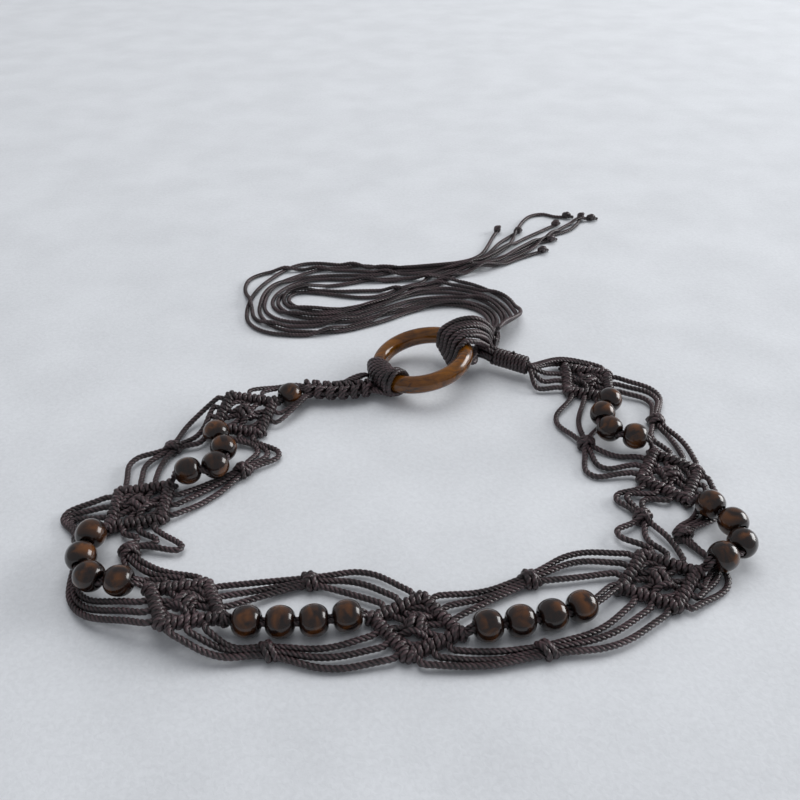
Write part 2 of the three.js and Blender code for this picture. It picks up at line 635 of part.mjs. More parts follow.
function tieGeometry(name) {
  const points = tiePoints(name);
  const end = points[points.length - 1];
  const knot = new THREE.SphereGeometry(END_KNOT_DIAMETER / 2, 6, 4);
  knot.translate(end.x, end.y, END_KNOT_DIAMETER / 2);
  const tube = tubeThrough(smoothCurve(points).getSpacedPoints(TIE_STEPS), TIE_BUNDLE_DIAMETER, 6);
  return geometryOf(fused([tube, knot]));
}

for (const name of Object.keys(TIE_ROUTES)) addPiece("tie_cords_" + name, tieGeometry(name), cordMaterial);

// The middle of the box round the belt, without its free ends, goes over the origin
const box = new THREE.Box3();
for (const piece of belt.children) {
  if (!piece.name.startsWith("tie_cords")) box.expandByObject(piece, true);
}
const middle = box.getCenter(vector(0, 0));
belt.position.set(-middle.x, -middle.y, -box.min.z);

export default belt;
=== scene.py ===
"""The looks of a macrame belt: waxed cords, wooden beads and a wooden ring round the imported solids.

The layout follows the solids: shares of PITCH for places, and metres for sizes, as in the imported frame.
"""
import math

import bpy
import numpy as np
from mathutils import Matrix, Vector


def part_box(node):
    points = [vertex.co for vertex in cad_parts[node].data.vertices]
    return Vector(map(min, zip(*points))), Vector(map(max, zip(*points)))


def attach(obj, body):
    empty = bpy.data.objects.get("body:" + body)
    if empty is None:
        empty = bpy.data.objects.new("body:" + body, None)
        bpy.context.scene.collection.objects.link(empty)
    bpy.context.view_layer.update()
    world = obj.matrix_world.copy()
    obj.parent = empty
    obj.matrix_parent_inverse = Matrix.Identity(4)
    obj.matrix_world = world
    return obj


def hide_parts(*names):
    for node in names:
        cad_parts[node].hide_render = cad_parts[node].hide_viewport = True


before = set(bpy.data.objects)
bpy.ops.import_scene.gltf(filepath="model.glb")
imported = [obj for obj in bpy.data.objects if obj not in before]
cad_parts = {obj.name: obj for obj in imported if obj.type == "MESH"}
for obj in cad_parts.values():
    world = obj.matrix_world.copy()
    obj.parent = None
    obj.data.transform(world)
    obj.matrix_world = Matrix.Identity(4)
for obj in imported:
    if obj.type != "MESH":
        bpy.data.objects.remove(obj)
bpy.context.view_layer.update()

bl_info = {
    "name": "Macrame belt",
    "version": (1, 0, 0),
    "blender": (4, 5, 0),
    "location": "3D View > Sidebar > Belt",
    "description": "Knotted cord belt with wooden beads and a wooden ring",
    "category": "Add Mesh",
}

# Sizes that the solids share
PITCH = 0.101
SIDE_RADIUS = 0.0027
HALF_LENGTH = 0.019 - SIDE_RADIUS
HALF_WIDTH = 0.0165 - SIDE_RADIUS
CLEARANCE = 0.0003
CORD_DIAMETER = 0.0025
BEAD_DIAMETER = 0.012
BEAD_LENGTH = 0.011
BEAD_PITCH = 0.0125
BEADS_PER_STRING = 4
BARE_TIP = 0.0065
GATHER_HEIGHT = 0.0056
RING_DIAMETER = 0.054
RING_WIRE_WIDTH = 0.008
RING_WIRE_HEIGHT = 0.0095
RING_TILT = math.radians(11)
NECK_DIAMETER = 0.0092
NECK_LENGTH = 0.02

# Each diamond: its middle, its heading and its lean in degrees
MOTIFS = [
    (-0.757, 0.384, -141, -14),
    (-1.122, -0.23, -127, 0),
    (-0.807, -0.797, -25, -13),
    (0.059, -0.876, -12, 0),
    (1.015, -0.653, 14.5, 0),
    (1.216, -0.03, 102, 0),
    (0.975, 0.703, 124, 0),
]
RING_PLACE = (0.115, 0.782)

# Each bead string: its length as a share of the longest, the angles at which it leaves and arrives, the
# share of bare cord before its first bead and its lift in cord diameters
BEAD_STRINGS = [
    (0.84, 52, -75, 0.65, 1.4),
    (0.88, -46, 57, 0.5, 1.6),
    (0, -8, 14, 0.5, 0),
    (0, -8, 30, 0.15, 0),
    (0.86, -70, 50, 0.4, 1.2),
    (0.88, 65, -45, 0.4, 1.2),
]

# Side strands: section, side, gathering knot, swings before and after it, and height in cord diameters
STRANDS = [
    (1, "outer", -1.064, 0.161, (-0.05, 0.02, 0.05), (-0.09, -0.05, -0.02), 1),
    (1, "inner", -0.713, 0.004, (0.135, 0.12, 0.11), (0.02, 0, 0), 0.5),
    (2, "outer", -1.31, -0.43, (-0.14, -0.135, -0.13), (-0.17, -0.16, -0.15), 0.5),
    (2, "inner", -1.1, -0.5, (0.18, 0.1, 0.05), (-0.03, -0.04, -0.05), 1),
    (3, "outer", -0.474, -0.99, (-0.05, -0.03, -0.03), (-0.07, -0.04, -0.02), 1),
    (3, "inner", -0.352, -0.659, (0.01, 0, 0), (0.1, 0.05, -0.01), 1),
    (4, "outer", 0.525, -0.985, (-0.05, -0.03, -0.01), (-0.07, -0.05, -0.03), 1),
    (4, "inner", 0.509, -0.649, (-0.01, -0.01, 0), (0.08, 0.05, -0.02), 1),
    (5, "outer", 1.175, -0.4, (-0.16, -0.12, -0.09), (-0.1, -0.06, -0.03), 0.5),
    (5, "inner", 1.03, -0.3, (0.11, 0.03, -0.02), (0.11, 0.1, 0.07), 1),
    (6, "outer", 1.251, 0.37, (-0.03, -0.02, 0.04), (-0.13, -0.12, -0.1), 1),
    (6, "inner", 0.879, 0.199, (0.14, 0.1, 0.02), (0.1, 0.03, -0.04), 0.5),
]
PORTS = (0.12, 0.42, 0.72)
NECK_PLACE = (0.585, 0.835, 150)

# How the bare cords run from the neck to the last diamond: side, port, swing and height
FAN = [
    (-1, 0, 0.09, 1.6),
    (-1, 1, 0.05, 2.2),
    (-1, 2, 0.045, 1.2),
    (1, 2, -0.01, 1.8),
    (1, 1, -0.03, 1.2),
    (1, 0, -0.06, 1),
]


def mm(value):
    return value / 1000


def place_of_origin():
    """Where the layout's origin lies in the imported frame, from the ring's box and a flat diamond's foot."""
    low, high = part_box("ring")
    middle = (low + high) / 2
    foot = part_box("motif_4")[0].z
    return np.array([middle.x - RING_PLACE[0] * PITCH, middle.y - RING_PLACE[1] * PITCH, foot])


ORIGIN = place_of_origin()


# Vectors


def unit(vector):
    return vector / np.linalg.norm(vector)


def vec(x, y, z=0.0):
    return np.array([x, y, z], float)


def level(vector):
    return vec(vector[0], vector[1])


def left_of(direction):
    return vec(-direction[1], direction[0])


def turned(direction, degrees):
    angle = math.radians(degrees)
    cos, sin = math.cos(angle), math.sin(angle)
    return vec(direction[0] * cos - direction[1] * sin, direction[0] * sin + direction[1] * cos, direction[2])


def spot(x, y, z=0.0):
    """A point of the layout: shares of PITCH in plan and metres above the table."""
    return ORIGIN + vec(x * PITCH, y * PITCH, z)


class Place:
    """A turned frame: its origin and its three axes."""

    def __init__(self, origin, heading, lean=0.0):
        turn, tip = math.radians(heading), math.radians(lean)
        self.origin = origin
        self.x = vec(math.cos(turn), math.sin(turn))
        flat_y = vec(-math.sin(turn), math.cos(turn))
        self.y = flat_y * math.cos(tip) + vec(0, 0, math.sin(tip))
        self.z = np.cross(self.x, self.y)

    def at(self, points):
        points = np.asarray(points, float)
        axes = np.array([self.x, self.y, self.z])
        return self.origin + points @ axes


def diamond_place(row):
    x, y, heading, lean = row
    rise = SIDE_RADIUS + abs(math.sin(math.radians(lean))) * HALF_WIDTH
    return Place(spot(x, y, rise), heading, lean)


DIAMONDS = [diamond_place(row) for row in MOTIFS]


def tip_point(end):
    return vec(end * HALF_LENGTH, 0)


def corner_point(side):
    return vec(0, side * HALF_WIDTH)


def side_point(end, side, share):
    return corner_point(side) * (1 - share) + tip_point(end) * share


def port(index, end, side, share):
    """Inside a diamond's side, just outside it, and the way out."""
    place = DIAMONDS[index]
    outward = unit(vec(end * HALF_WIDTH, side * HALF_LENGTH))
    inside = side_point(end, side, share)
    outside = inside + outward * (SIDE_RADIUS + CLEARANCE)
    return place.at(inside), place.at(outside), place.at(inside + outward) - place.at(inside)


# Cords

TINY = 1e-12  # keeps a division away from zero
CLOSEST = 1e-7  # the least distance between two points of a route


def smooth(points, samples=10):
    """A centripetal Catmull-Rom curve through the points, closely sampled."""
    points = np.asarray(points, float)
    first = 2 * points[0] - points[1]
    last = 2 * points[-1] - points[-2]
    knots = np.vstack([first, points, last])
    gaps = np.maximum(np.linalg.norm(np.diff(knots, axis=0), axis=1), CLOSEST) ** 0.5
    times = np.concatenate([[0], np.cumsum(gaps)])
    out = []
    for i in range(1, len(knots) - 2):
        t0, t1, t2, t3 = times[i - 1 : i + 3]
        p0, p1, p2, p3 = knots[i - 1 : i + 3]
        t = np.linspace(t1, t2, samples, endpoint=False)[:, None]
        a1 = (t1 - t) / (t1 - t0) * p0 + (t - t0) / (t1 - t0) * p1
        a2 = (t2 - t) / (t2 - t1) * p1 + (t - t1) / (t2 - t1) * p2
        a3 = (t3 - t) / (t3 - t2) * p2 + (t - t2) / (t3 - t2) * p3
        b1 = (t2 - t) / (t2 - t0) * a1 + (t - t0) / (t2 - t0) * a2
        b2 = (t3 - t) / (t3 - t1) * a2 + (t - t1) / (t3 - t1) * a3
        out.append((t2 - t) / (t2 - t1) * b1 + (t - t1) / (t2 - t1) * b2)
    return np.vstack([*out, points[-1:]])


def distances(points):
    """How far along the line each of its points lies."""
    return np.concatenate([[0], np.cumsum(np.linalg.norm(np.diff(points, axis=0), axis=1))])


def point_along(line, lengths, distance):
    return np.array([np.interp(distance, lengths, line[:, k]) for k in range(3)])


def spaced(points, step):
    """The same line, stepped evenly."""
    lengths = distances(points)
    count = max(2, int(round(lengths[-1] / step)) + 1)
    stops = np.linspace(0, lengths[-1], count)
    return np.stack([np.interp(stops, lengths, points[:, k]) for k in range(3)], axis=1), stops


def carried_frames(line):
    """A direction across the line at each of its points, carried along without twist."""
    tangents = np.gradient(line, axis=0)
    tangents /= np.maximum(np.linalg.norm(tangents, axis=1), TINY)[:, None]
    across = np.empty_like(line)
    start = vec(0, 0, 1) if abs(tangents[0][2]) < 0.9 else vec(1, 0, 0)
    current = unit(start - tangents[0] * np.dot(start, tangents[0]))
    for i, tangent in enumerate(tangents):
        current = current - tangent * np.dot(current, tangent)
        current /= max(np.linalg.norm(current), TINY)
        across[i] = current
    return across, np.cross(tangents, across)


class CordMesh:
    """Twisted cords gathered into one mesh, with plies in its shape and a UV map along and round each."""

    PLIES = 3
    POINTS_PER_PLY = 5
    GROOVE = 0.26
    TWIST = 0.0062  # one turn of the plies
    STEP = 0.00055
    END = 0.7  # the radius of a cut end, as a share of the cord's
    NEXT_TURN = 2.4  # how far each cord is turned past the one before it, in radians
    NEXT_PATCH = 0.37  # how far its pattern is shifted
    PATTERN = 100  # the pattern's units in a metre of cord

    def __init__(self):
        self.points, self.faces, self.uvs, self.depths = [], [], [], []
        self.count = self.strands = 0

    def add(self, path, radius=CORD_DIAMETER / 2, smoothed=True, step=STEP, groove=GROOVE):
        """One cord along a path. The groove is how deep its plies part, as a share of the radius."""
        dense = smooth(path) if smoothed else np.asarray(path, float)
        line, along = spaced(dense, step)
        line[:, 2] = np.maximum(line[:, 2], ORIGIN[2] + radius)
        across, beside = carried_frames(line)
        sides = self.PLIES * self.POINTS_PER_PLY
        angles = np.arange(sides) * 2 * math.pi / sides
        dips = groove * (1 - np.abs(np.sin(self.PLIES * angles / 2)))
        reach = radius * (1 - dips)
        self.strands += 1
        turn = along[:, None] * (2 * math.pi / self.TWIST) + angles[None, :] + self.strands * self.NEXT_TURN
        rings = (
            line[:, None, :]
            + across[:, None, :] * (np.cos(turn) * reach)[:, :, None]
            + beside[:, None, :] * (np.sin(turn) * reach)[:, :, None]
        )
        rings[0] = line[0] + (rings[0] - line[0]) * self.END
        rings[-1] = line[-1] + (rings[-1] - line[-1]) * self.END
        base, steps = self.count, len(line)
        self.points.append(np.vstack([rings.reshape(-1, 3), line[:1], line[-1:]]))
        ring = np.arange(steps - 1)[:, None] * sides
        j = np.arange(sides)[None, :]
        after = (j + 1) % sides
        quads = np.stack([ring + j, ring + after, ring + sides + after, ring + sides + j], axis=2)
        self.faces.append((quads.reshape(-1, 4) + base).tolist())
        offset = self.strands * self.NEXT_PATCH
        u0 = np.broadcast_to((along[:-1] * self.PATTERN + offset)[:, None], (steps - 1, sides))
        u1 = np.broadcast_to((along[1:] * self.PATTERN + offset)[:, None], (steps - 1, sides))
        v0 = np.broadcast_to(j / sides, (steps - 1, sides))
        v1 = np.broadcast_to((j + 1) / sides, (steps - 1, sides))
        uv = np.stack([u0, v0, u0, v1, u1, v1, u1, v0], axis=2).reshape(-1, 4, 2)
        self.uvs.append(uv.reshape(-1, 2))
        start, end = base + steps * sides, base + steps * sides + 1
        last = base + (steps - 1) * sides
        caps = [[start, base + (k + 1) % sides, base + k] for k in range(sides)]
        caps += [[end, last + k, last + (k + 1) % sides] for k in range(sides)]
        self.faces.append(caps)
        cap_uv = np.zeros((len(caps) * 3, 2))
        cap_uv[:, 0] = offset
        self.uvs.append(cap_uv)
        self.count += steps * sides + 2
        self.depths.append(np.full(steps * sides + 2, groove / self.GROOVE))
        return line

    def piece(self, name, *nodes):
        """The mesh as a piece that stands for these solids."""
        mesh = bpy.data.meshes.new(name)
        faces = [face for group in self.faces for face in group]
        mesh.from_pydata(np.vstack(self.points).tolist(), [], faces)
        layer = mesh.uv_layers.new(name="cord")
        layer.data.foreach_set("uv", np.vstack(self.uvs).astype(np.float32).ravel())
        depth = mesh.attributes.new("ply_depth", "FLOAT", "POINT")
        depth.data.foreach_set("value", np.concatenate(self.depths).astype(np.float32))
        mesh.polygons.foreach_set("use_smooth", np.ones(len(mesh.polygons), bool))
        mesh.update()
        obj = bpy.data.objects.new(name, mesh)
        bpy.context.scene.collection.objects.link(obj)
        mesh.materials.append(cord_material())
        return finished(obj, "cord", *nodes)


TIGHT = 0.13  # the groove of a cord that is drawn tight in a knot
FIRM = 0.2  # the same, drawn less tight


def finished(obj, slot, *nodes):
    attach(obj, "root")
    if nodes:
        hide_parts(*nodes)
    return obj


def coil(place, along, across, up, radius, turns, pitch, start=0.0, per_turn=14):
    """A helix round a straight axis that starts at a point of it."""
    count = max(4, int(abs(turns) * per_turn)) + 1
    t = np.linspace(0, 1, count)[:, None]
    angle = start + 2 * math.pi * turns * t
    ahead = along * (abs(turns) * pitch * (t - 0.5))
    return place + ahead + (across * np.cos(angle) + up * np.sin(angle)) * radius


# Finishes


def linear(red, green, blue):
    """A colour given in display values from 0 to 255."""
    channels = [value / 255 for value in (red, green, blue)]
    return tuple(c / 12.92 if c <= 0.04045 else ((c + 0.055) / 1.055) ** 2.4 for c in channels) + (1.0,)


class Nodes:
    """Short words for the nodes of one tree."""

    def __init__(self, tree):
        self.tree = tree

    def new(self, kind, **values):
        node = self.tree.nodes.new(kind)
        for name, value in values.items():
            setattr(node, name, value)
        return node

    def join(self, source, target):
        self.tree.links.new(source, target)

    def fill(self, socket, value):
        if isinstance(value, bpy.types.NodeSocket):
            self.join(value, socket)
        else:
            socket.default_value = value

    def math(self, operation, first, second=0.0):
        node = self.new("ShaderNodeMath", operation=operation)
        self.fill(node.inputs[0], first)
        self.fill(node.inputs[1], second)
        return node.outputs[0]

    def span(self, value, low, high, to_low=0.0, to_high=1.0):
        node = self.new("ShaderNodeMapRange")
        for name, number in (("From Min", low), ("From Max", high), ("To Min", to_low), ("To Max", to_high)):
            node.inputs[name].default_value = number
        self.join(value, node.inputs["Value"])
        return node.outputs["Result"]

    def noise(self, vector, scale, detail=3.0, distortion=0.0):
        node = self.new("ShaderNodeTexNoise")
        self.fill(node.inputs["Scale"], scale)
        node.inputs["Detail"].default_value = detail
        node.inputs["Distortion"].default_value = distortion
        self.join(vector, node.inputs["Vector"])
        return node.outputs["Fac"]

    def mix(self, share, first, second):
        node = self.new("ShaderNodeMix", data_type="RGBA")
        self.fill(node.inputs[0], share)
        self.fill(node.inputs[6], first)
        self.fill(node.inputs[7], second)
        return node.outputs[2]

    def stretched(self, vector, scale):
        node = self.new("ShaderNodeVectorMath", operation="MULTIPLY")
        self.join(vector, node.inputs[0])
        node.inputs[1].default_value = scale
        return node.outputs[0]

    def bumped(self, height, strength, distance):
        node = self.new("ShaderNodeBump")
        node.inputs["Strength"].default_value = strength
        node.inputs["Distance"].default_value = distance
        self.join(height, node.inputs["Height"])
        return node.outputs["Normal"]


def new_material(name):
    material = bpy.data.materials.new(name)
    material.use_nodes = True
    tree = material.node_tree
    return material, Nodes(tree), tree.nodes["Principled BSDF"].inputs


FIBRE_STRETCH = (12.0, 50.0, 1.0)  # fine across the cord and long along it
WAX_PATCH_SCALE = 110.0
# The painted shade in the crevices between cords: its ambient occlusion samples and reach
CREVICE_SHADE_SAMPLES = 6
CREVICE_SHADE_REACH = 0.0022
CORD_GLOSS = {"Specular IOR Level": 0.55, "Coat Weight": 0.4, "Coat Roughness": 0.16}
CORD_BUMP = 0.6
CORD_BUMP_HEIGHT = 0.0003


def cord_material():
    """Waxed dark brown cord: fibres along its plies, grey wax flecks with a painted highlight on the plies'
    crests, and painted shade in the grooves between plies and in the crevices between cords.
    """
    material = bpy.data.materials.get("waxed_cord")
    if material:
        return material
    colours = bpy.context.scene.belt_cords
    material, nodes, shader = new_material("waxed_cord")
    uv = nodes.new("ShaderNodeUVMap", uv_map="cord").outputs["UV"]
    parts = nodes.new("ShaderNodeSeparateXYZ")
    nodes.join(uv, parts.inputs[0])
    depth = nodes.new("ShaderNodeAttribute", attribute_name="ply_depth").outputs["Fac"]
    ply = nodes.math("COSINE", nodes.math("MULTIPLY", parts.outputs["Y"], 2 * math.pi * CordMesh.PLIES))
    # Painted shade: the grooves between the plies are darkened towards the groove colour, more where the
    # plies part further.
    groove = nodes.math("MULTIPLY", nodes.span(ply, 0.1, 0.9), nodes.span(depth, 0.0, 0.6))
    # Painted highlight: the crests of the plies are lightened towards the wax colour.
    crest_highlight = nodes.math("MULTIPLY", nodes.span(ply, -0.2, -0.95), nodes.span(depth, 0.0, 1.0, 0.5, 1.0))
    fibres = nodes.noise(nodes.stretched(uv, FIBRE_STRETCH), 1.0, 3.0)
    place = nodes.new("ShaderNodeTexCoord").outputs["Object"]
    patches = nodes.noise(place, WAX_PATCH_SCALE, 3.0, 0.4)
    # Grey wax flecks along the fibres. Their colour is also the painted highlight on the crests.
    wax_and_highlight = nodes.span(nodes.math("MULTIPLY", fibres, patches), 0.2, 0.36)
    base = nodes.mix(nodes.span(patches, 0.35, 0.65), tuple(colours.deep), tuple(colours.body))
    # How much of the wax colour shows: the wax flecks, plus the painted highlight on the crests.
    share = nodes.math("MULTIPLY", nodes.math("ADD", wax_and_highlight, nodes.math("MULTIPLY", crest_highlight, 0.6)), 0.45)
    waxed = nodes.mix(share, base, tuple(colours.wax_and_highlight))
    # Paints the shade in the grooves between the plies.
    groove_shaded = nodes.mix(nodes.math("MULTIPLY", groove, 0.9), waxed, tuple(colours.groove))
    # Painted shade: where ambient occlusion finds other cords near, the colour goes to the dark groove
    # colour.
    crevice_shade = nodes.new("ShaderNodeAmbientOcclusion")
    crevice_shade.samples = CREVICE_SHADE_SAMPLES
    crevice_shade.inputs["Distance"].default_value = CREVICE_SHADE_REACH
    unshaded = nodes.span(crevice_shade.outputs["AO"], 0.3, 0.85)
    nodes.join(nodes.mix(unshaded, tuple(colours.groove), groove_shaded), shader["Base Color"])
    nodes.join(nodes.span(fibres, 0.3, 0.7, 0.24, 0.42), shader["Roughness"])
    height = nodes.math("SUBTRACT", fibres, nodes.math("MULTIPLY", groove, 0.8))
    nodes.join(nodes.bumped(height, CORD_BUMP, CORD_BUMP_HEIGHT), shader["Normal"])
    for socket, value in CORD_GLOSS.items():
        shader[socket].default_value = value
    return material


def grain_group():
    """Wood grain along Z of a vector: streaks and pores between three colours."""
    group = bpy.data.node_groups.get("Wood grain")
    if group:
        return group
    group = bpy.data.node_groups.new("Wood grain", "ShaderNodeTree")
    for name, way, kind in (
        ("Vector", "INPUT", "NodeSocketVector"),
        ("Dark", "INPUT", "NodeSocketColor"),
        ("Body", "INPUT", "NodeSocketColor"),
        ("Amber", "INPUT", "NodeSocketColor"),
        ("Amber share", "INPUT", "NodeSocketFloat"),
        ("Scale", "INPUT", "NodeSocketFloat"),
        ("Color", "OUTPUT", "NodeSocketColor"),
        ("Roughness", "OUTPUT", "NodeSocketFloat"),
        ("Height", "OUTPUT", "NodeSocketFloat"),
    ):
        group.interface.new_socket(name=name, in_out=way, socket_type=kind)
    nodes = Nodes(group)
    given = nodes.new("NodeGroupInput").outputs
    result = nodes.new("NodeGroupOutput").inputs
    scaled = nodes.new("ShaderNodeVectorMath", operation="SCALE")
    nodes.join(given["Vector"], scaled.inputs[0])
    nodes.join(given["Scale"], scaled.inputs["Scale"])
    along = scaled.outputs[0]
    streaks = nodes.noise(nodes.stretched(along, (1.0, 1.0, 0.16)), 1.0, 5.0, 0.8)
    pores = nodes.noise(nodes.stretched(along, (5.0, 5.0, 0.5)), 1.0, 2.0)
    patches = nodes.noise(along, 0.16, 2.0, 0.6)
    body = nodes.mix(nodes.span(streaks, 0.38, 0.6), given["Dark"], given["Body"])
    amber = nodes.math("MULTIPLY", nodes.span(patches, 0.44, 0.64), given["Amber share"])
    patched = nodes.mix(amber, body, given["Amber"])
    pore = nodes.span(pores, 0.66, 0.74)
    nodes.join(nodes.mix(nodes.math("MULTIPLY", pore, 0.6), patched, given["Dark"]), result["Color"])
    nodes.join(nodes.span(streaks, 0.3, 0.7, 0.24, 0.16), result["Roughness"])
    nodes.join(nodes.math("SUBTRACT", streaks, pore), result["Height"])
    return group


def wood_material(name, dark, body, amber, amber_share, scale, coat_roughness, belly=None):
    """Lacquered wood. With a belly, the amber shows only that near the middle of the piece's first axis."""
    material = bpy.data.materials.get(name)
    if material:
        return material
    material, nodes, shader = new_material(name)
    own = nodes.new("ShaderNodeAttribute", attribute_name="own_place").outputs["Vector"]
    grain = nodes.new("ShaderNodeGroup", node_tree=grain_group())
    nodes.join(own, grain.inputs["Vector"])
    for socket, value in (("Dark", dark), ("Body", body), ("Amber", amber), ("Amber share", amber_share)):
        grain.inputs[socket].default_value = value
    if belly:
        parts = nodes.new("ShaderNodeSeparateXYZ")
        nodes.join(own, parts.inputs[0])
        away = nodes.math("ABSOLUTE", parts.outputs["X"])
        nodes.join(nodes.span(away, belly, belly * 0.3, 0.0, amber_share), grain.inputs["Amber share"])
    grain.inputs["Scale"].default_value = scale
    nodes.join(grain.outputs["Color"], shader["Base Color"])
    nodes.join(grain.outputs["Roughness"], shader["Roughness"])
    nodes.join(nodes.bumped(grain.outputs["Height"], 0.12, mm(0.1)), shader["Normal"])
    shader["Coat Weight"].default_value = 0.5
    shader["Specular IOR Level"].default_value = 0.4
    shader["Coat Roughness"].default_value = coat_roughness
    return material


# Turned wood


def deselect():
    bpy.ops.object.select_all(action="DESELECT")


def points_of(mesh):
    points = np.zeros(len(mesh.vertices) * 3, np.float32)
    mesh.vertices.foreach_get("co", points)
    return points.reshape(-1, 3)


def keep_own_place(mesh, shift=(0, 0, 0)):
    """The wood's own coordinates before the piece is put in its place, with the grain along the third."""
    layer = mesh.attributes.new("own_place", "FLOAT_VECTOR", "POINT")
    shifted = points_of(mesh)[:, [2, 1, 0]] + np.asarray(shift, np.float32)
    layer.data.foreach_set("vector", shifted.ravel())


def moved_to(mesh, origin, x_axis, y_axis, z_axis):
    axes = np.array([x_axis, y_axis, z_axis])
    moved = origin + points_of(mesh) @ axes
    mesh.vertices.foreach_set("co", moved.astype(np.float32).ravel())
    mesh.update()


def apply_all(obj):
    bpy.context.view_layer.objects.active = obj
    for modifier in list(obj.modifiers):
        bpy.ops.object.modifier_apply(modifier=modifier.name)


def select_vertices(obj, wanted):
    """In edit mode: selects the vertices that the test picks, with their edges and faces."""
    bpy.ops.mesh.select_all(action="DESELECT")
    bpy.ops.object.mode_set(mode="OBJECT")
    for vertex in obj.data.vertices:
        vertex.select = wanted(vertex.co)
    bpy.ops.object.mode_set(mode="EDIT")


BEAD_BORE_RADIUS = BEAD_DIAMETER * 0.19
BEAD_BARREL = 0.34  # how far the sphere is drawn to a cylinder
BEAD_SWELL = 1.03  # makes up for the width that the barrel shape takes off
BEAD_RIM = 0.0003


def model_bead():
    """A round bead, a little barrel-shaped, drilled along Z with a countersunk bore."""
    deselect()
    bpy.ops.mesh.primitive_uv_sphere_add(segments=36, ring_count=28, radius=BEAD_DIAMETER / 2)
    bead = bpy.context.object
    cast = bead.modifiers.new("barrel", "CAST")
    cast.cast_type = "CYLINDER"
    cast.factor = BEAD_BARREL
    cast.use_radius_as_size = False
    cast.size = BEAD_DIAMETER / 2
    apply_all(bead)
    bpy.ops.object.mode_set(mode="EDIT")
    bpy.ops.mesh.select_all(action="SELECT")
    height = max(vertex.co.z for vertex in bead.data.vertices)
    bpy.ops.transform.resize(value=(BEAD_SWELL, BEAD_SWELL, BEAD_LENGTH / 2 / height))
    bpy.ops.mesh.select_mode(type="VERT")
    select_vertices(bead, lambda co: math.hypot(co.x, co.y) < BEAD_BORE_RADIUS)
    bpy.ops.mesh.delete(type="VERT")
    bpy.ops.mesh.select_all(action="DESELECT")
    bpy.ops.mesh.select_mode(type="EDGE")
    bpy.ops.mesh.select_non_manifold()
    bpy.ops.mesh.bridge_edge_loops(number_cuts=2)
    bpy.ops.mesh.select_all(action="SELECT")
    bpy.ops.mesh.normals_make_consistent(inside=False)
    bpy.ops.object.mode_set(mode="OBJECT")
    bevel = bead.modifiers.new("rim", "BEVEL")
    bevel.width = BEAD_RIM
    bevel.segments = 3
    bevel.limit_method = "ANGLE"
    bevel.angle_limit = math.radians(45)
    apply_all(bead)
    bpy.ops.object.shade_smooth_by_angle(angle=math.radians(50))
    return bead


def wood_of_beads():
    colours = bpy.context.scene.belt_woods
    return wood_material(
        "dark_bead_wood",
        dark=tuple(colours.bead_dark),
        body=tuple(colours.bead_body),
        amber=tuple(colours.bead_amber),
        amber_share=0.85,
        scale=900.0,
        coat_roughness=0.08,
        belly=BEAD_LENGTH * 0.42,
    )


def wood_of_ring():
    colours = bpy.context.scene.belt_woods
    return wood_material(
        "ring_wood",
        dark=tuple(colours.ring_dark),
        body=tuple(colours.ring_body),
        amber=tuple(colours.ring_amber),
        amber_share=0.35,
        scale=420.0,
        coat_roughness=0.05,
    )


# The bead strings' ways

HALVINGS = 30  # of the span in which a string's reach is sought
NECK_BEAD_GAP = 0.0015


def bezier(start, first, second, end, count=400):
    t = np.linspace(0, 1, count)[:, None]
    u = 1 - t
    return u**3 * start + 3 * u * u * t * first + 3 * u * t * t * second + t**3 * end


def length_of(line):
    return float(np.linalg.norm(np.diff(line, axis=0), axis=1).sum())


def plan_of_string(index):
    """The string's plain way over the table, as long as its row says."""
    share, leaves, arrives, _, _ = BEAD_STRINGS[index]
    start = level(port_of_tip(index, 1))
    end = level(port_of_tip(index + 1, -1))
    along = unit(end - start)

    def way(reach):
        first = start + turned(along, leaves) * reach
        second = end - turned(along, arrives) * reach
        return bezier(start, first, second, end)

    longest = BEADS_PER_STRING * BEAD_PITCH + 2 * BARE_TIP
    length = share * longest
    low = float(np.linalg.norm(end - start)) / 3
    high = max(length, low)
    if length_of(way(low)) > length:
        return way(low)
    for _ in range(HALVINGS):
        middle = (low + high) / 2
        if length_of(way(middle)) < length:
            low = middle
        else:
            high = middle
    return way(low)


def port_of_tip(index, end):
    return DIAMONDS[index].at(tip_point(end) + vec(end * (SIDE_RADIUS + CLEARANCE), 0))


def beads_of_string(index):
    """Each bead's middle and the way of its bore."""
    _, _, _, slack, lift = BEAD_STRINGS[index]
    plan = plan_of_string(index)
    lengths = distances(plan)
    total = lengths[-1]

    def at(distance):
        half = BEAD_LENGTH / 2
        ramp = min(1.0, distance / half, (total - distance) / half)
        point = point_along(plan, lengths, distance)
        point[2] = ORIGIN[2] + BEAD_DIAMETER / 2 + lift * CORD_DIAMETER * ramp
        return point

    spare = total - (BEADS_PER_STRING - 1) * BEAD_PITCH - BEAD_LENGTH
    beads = []
    for k in range(BEADS_PER_STRING):
        distance = spare * slack + BEAD_LENGTH / 2 + k * BEAD_PITCH
        quarter = BEAD_LENGTH / 4
        beads.append((at(distance), unit(at(distance + quarter) - at(distance - quarter))))
    return beads


def neck_bead():
    place = DIAMONDS[0]
    tip = port_of_tip(0, -1)
    heading = unit(level(-place.x))
    middle = tip + heading * (BEAD_LENGTH / 2 + NECK_BEAD_GAP)
    middle[2] = ORIGIN[2] + BEAD_DIAMETER / 2
    return middle, heading


# The ring's own frame


def ring_middle():
    low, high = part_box("ring")
    return np.array((low + high) / 2)


RING_MIDDLE = ring_middle()
RING_X = vec(math.cos(RING_TILT), 0, math.sin(RING_TILT))
RING_Y = vec(0, 1, 0)
RING_Z = vec(-math.sin(RING_TILT), 0, math.cos(RING_TILT))
RING_RADIUS = (RING_DIAMETER - RING_WIRE_WIDTH) / 2


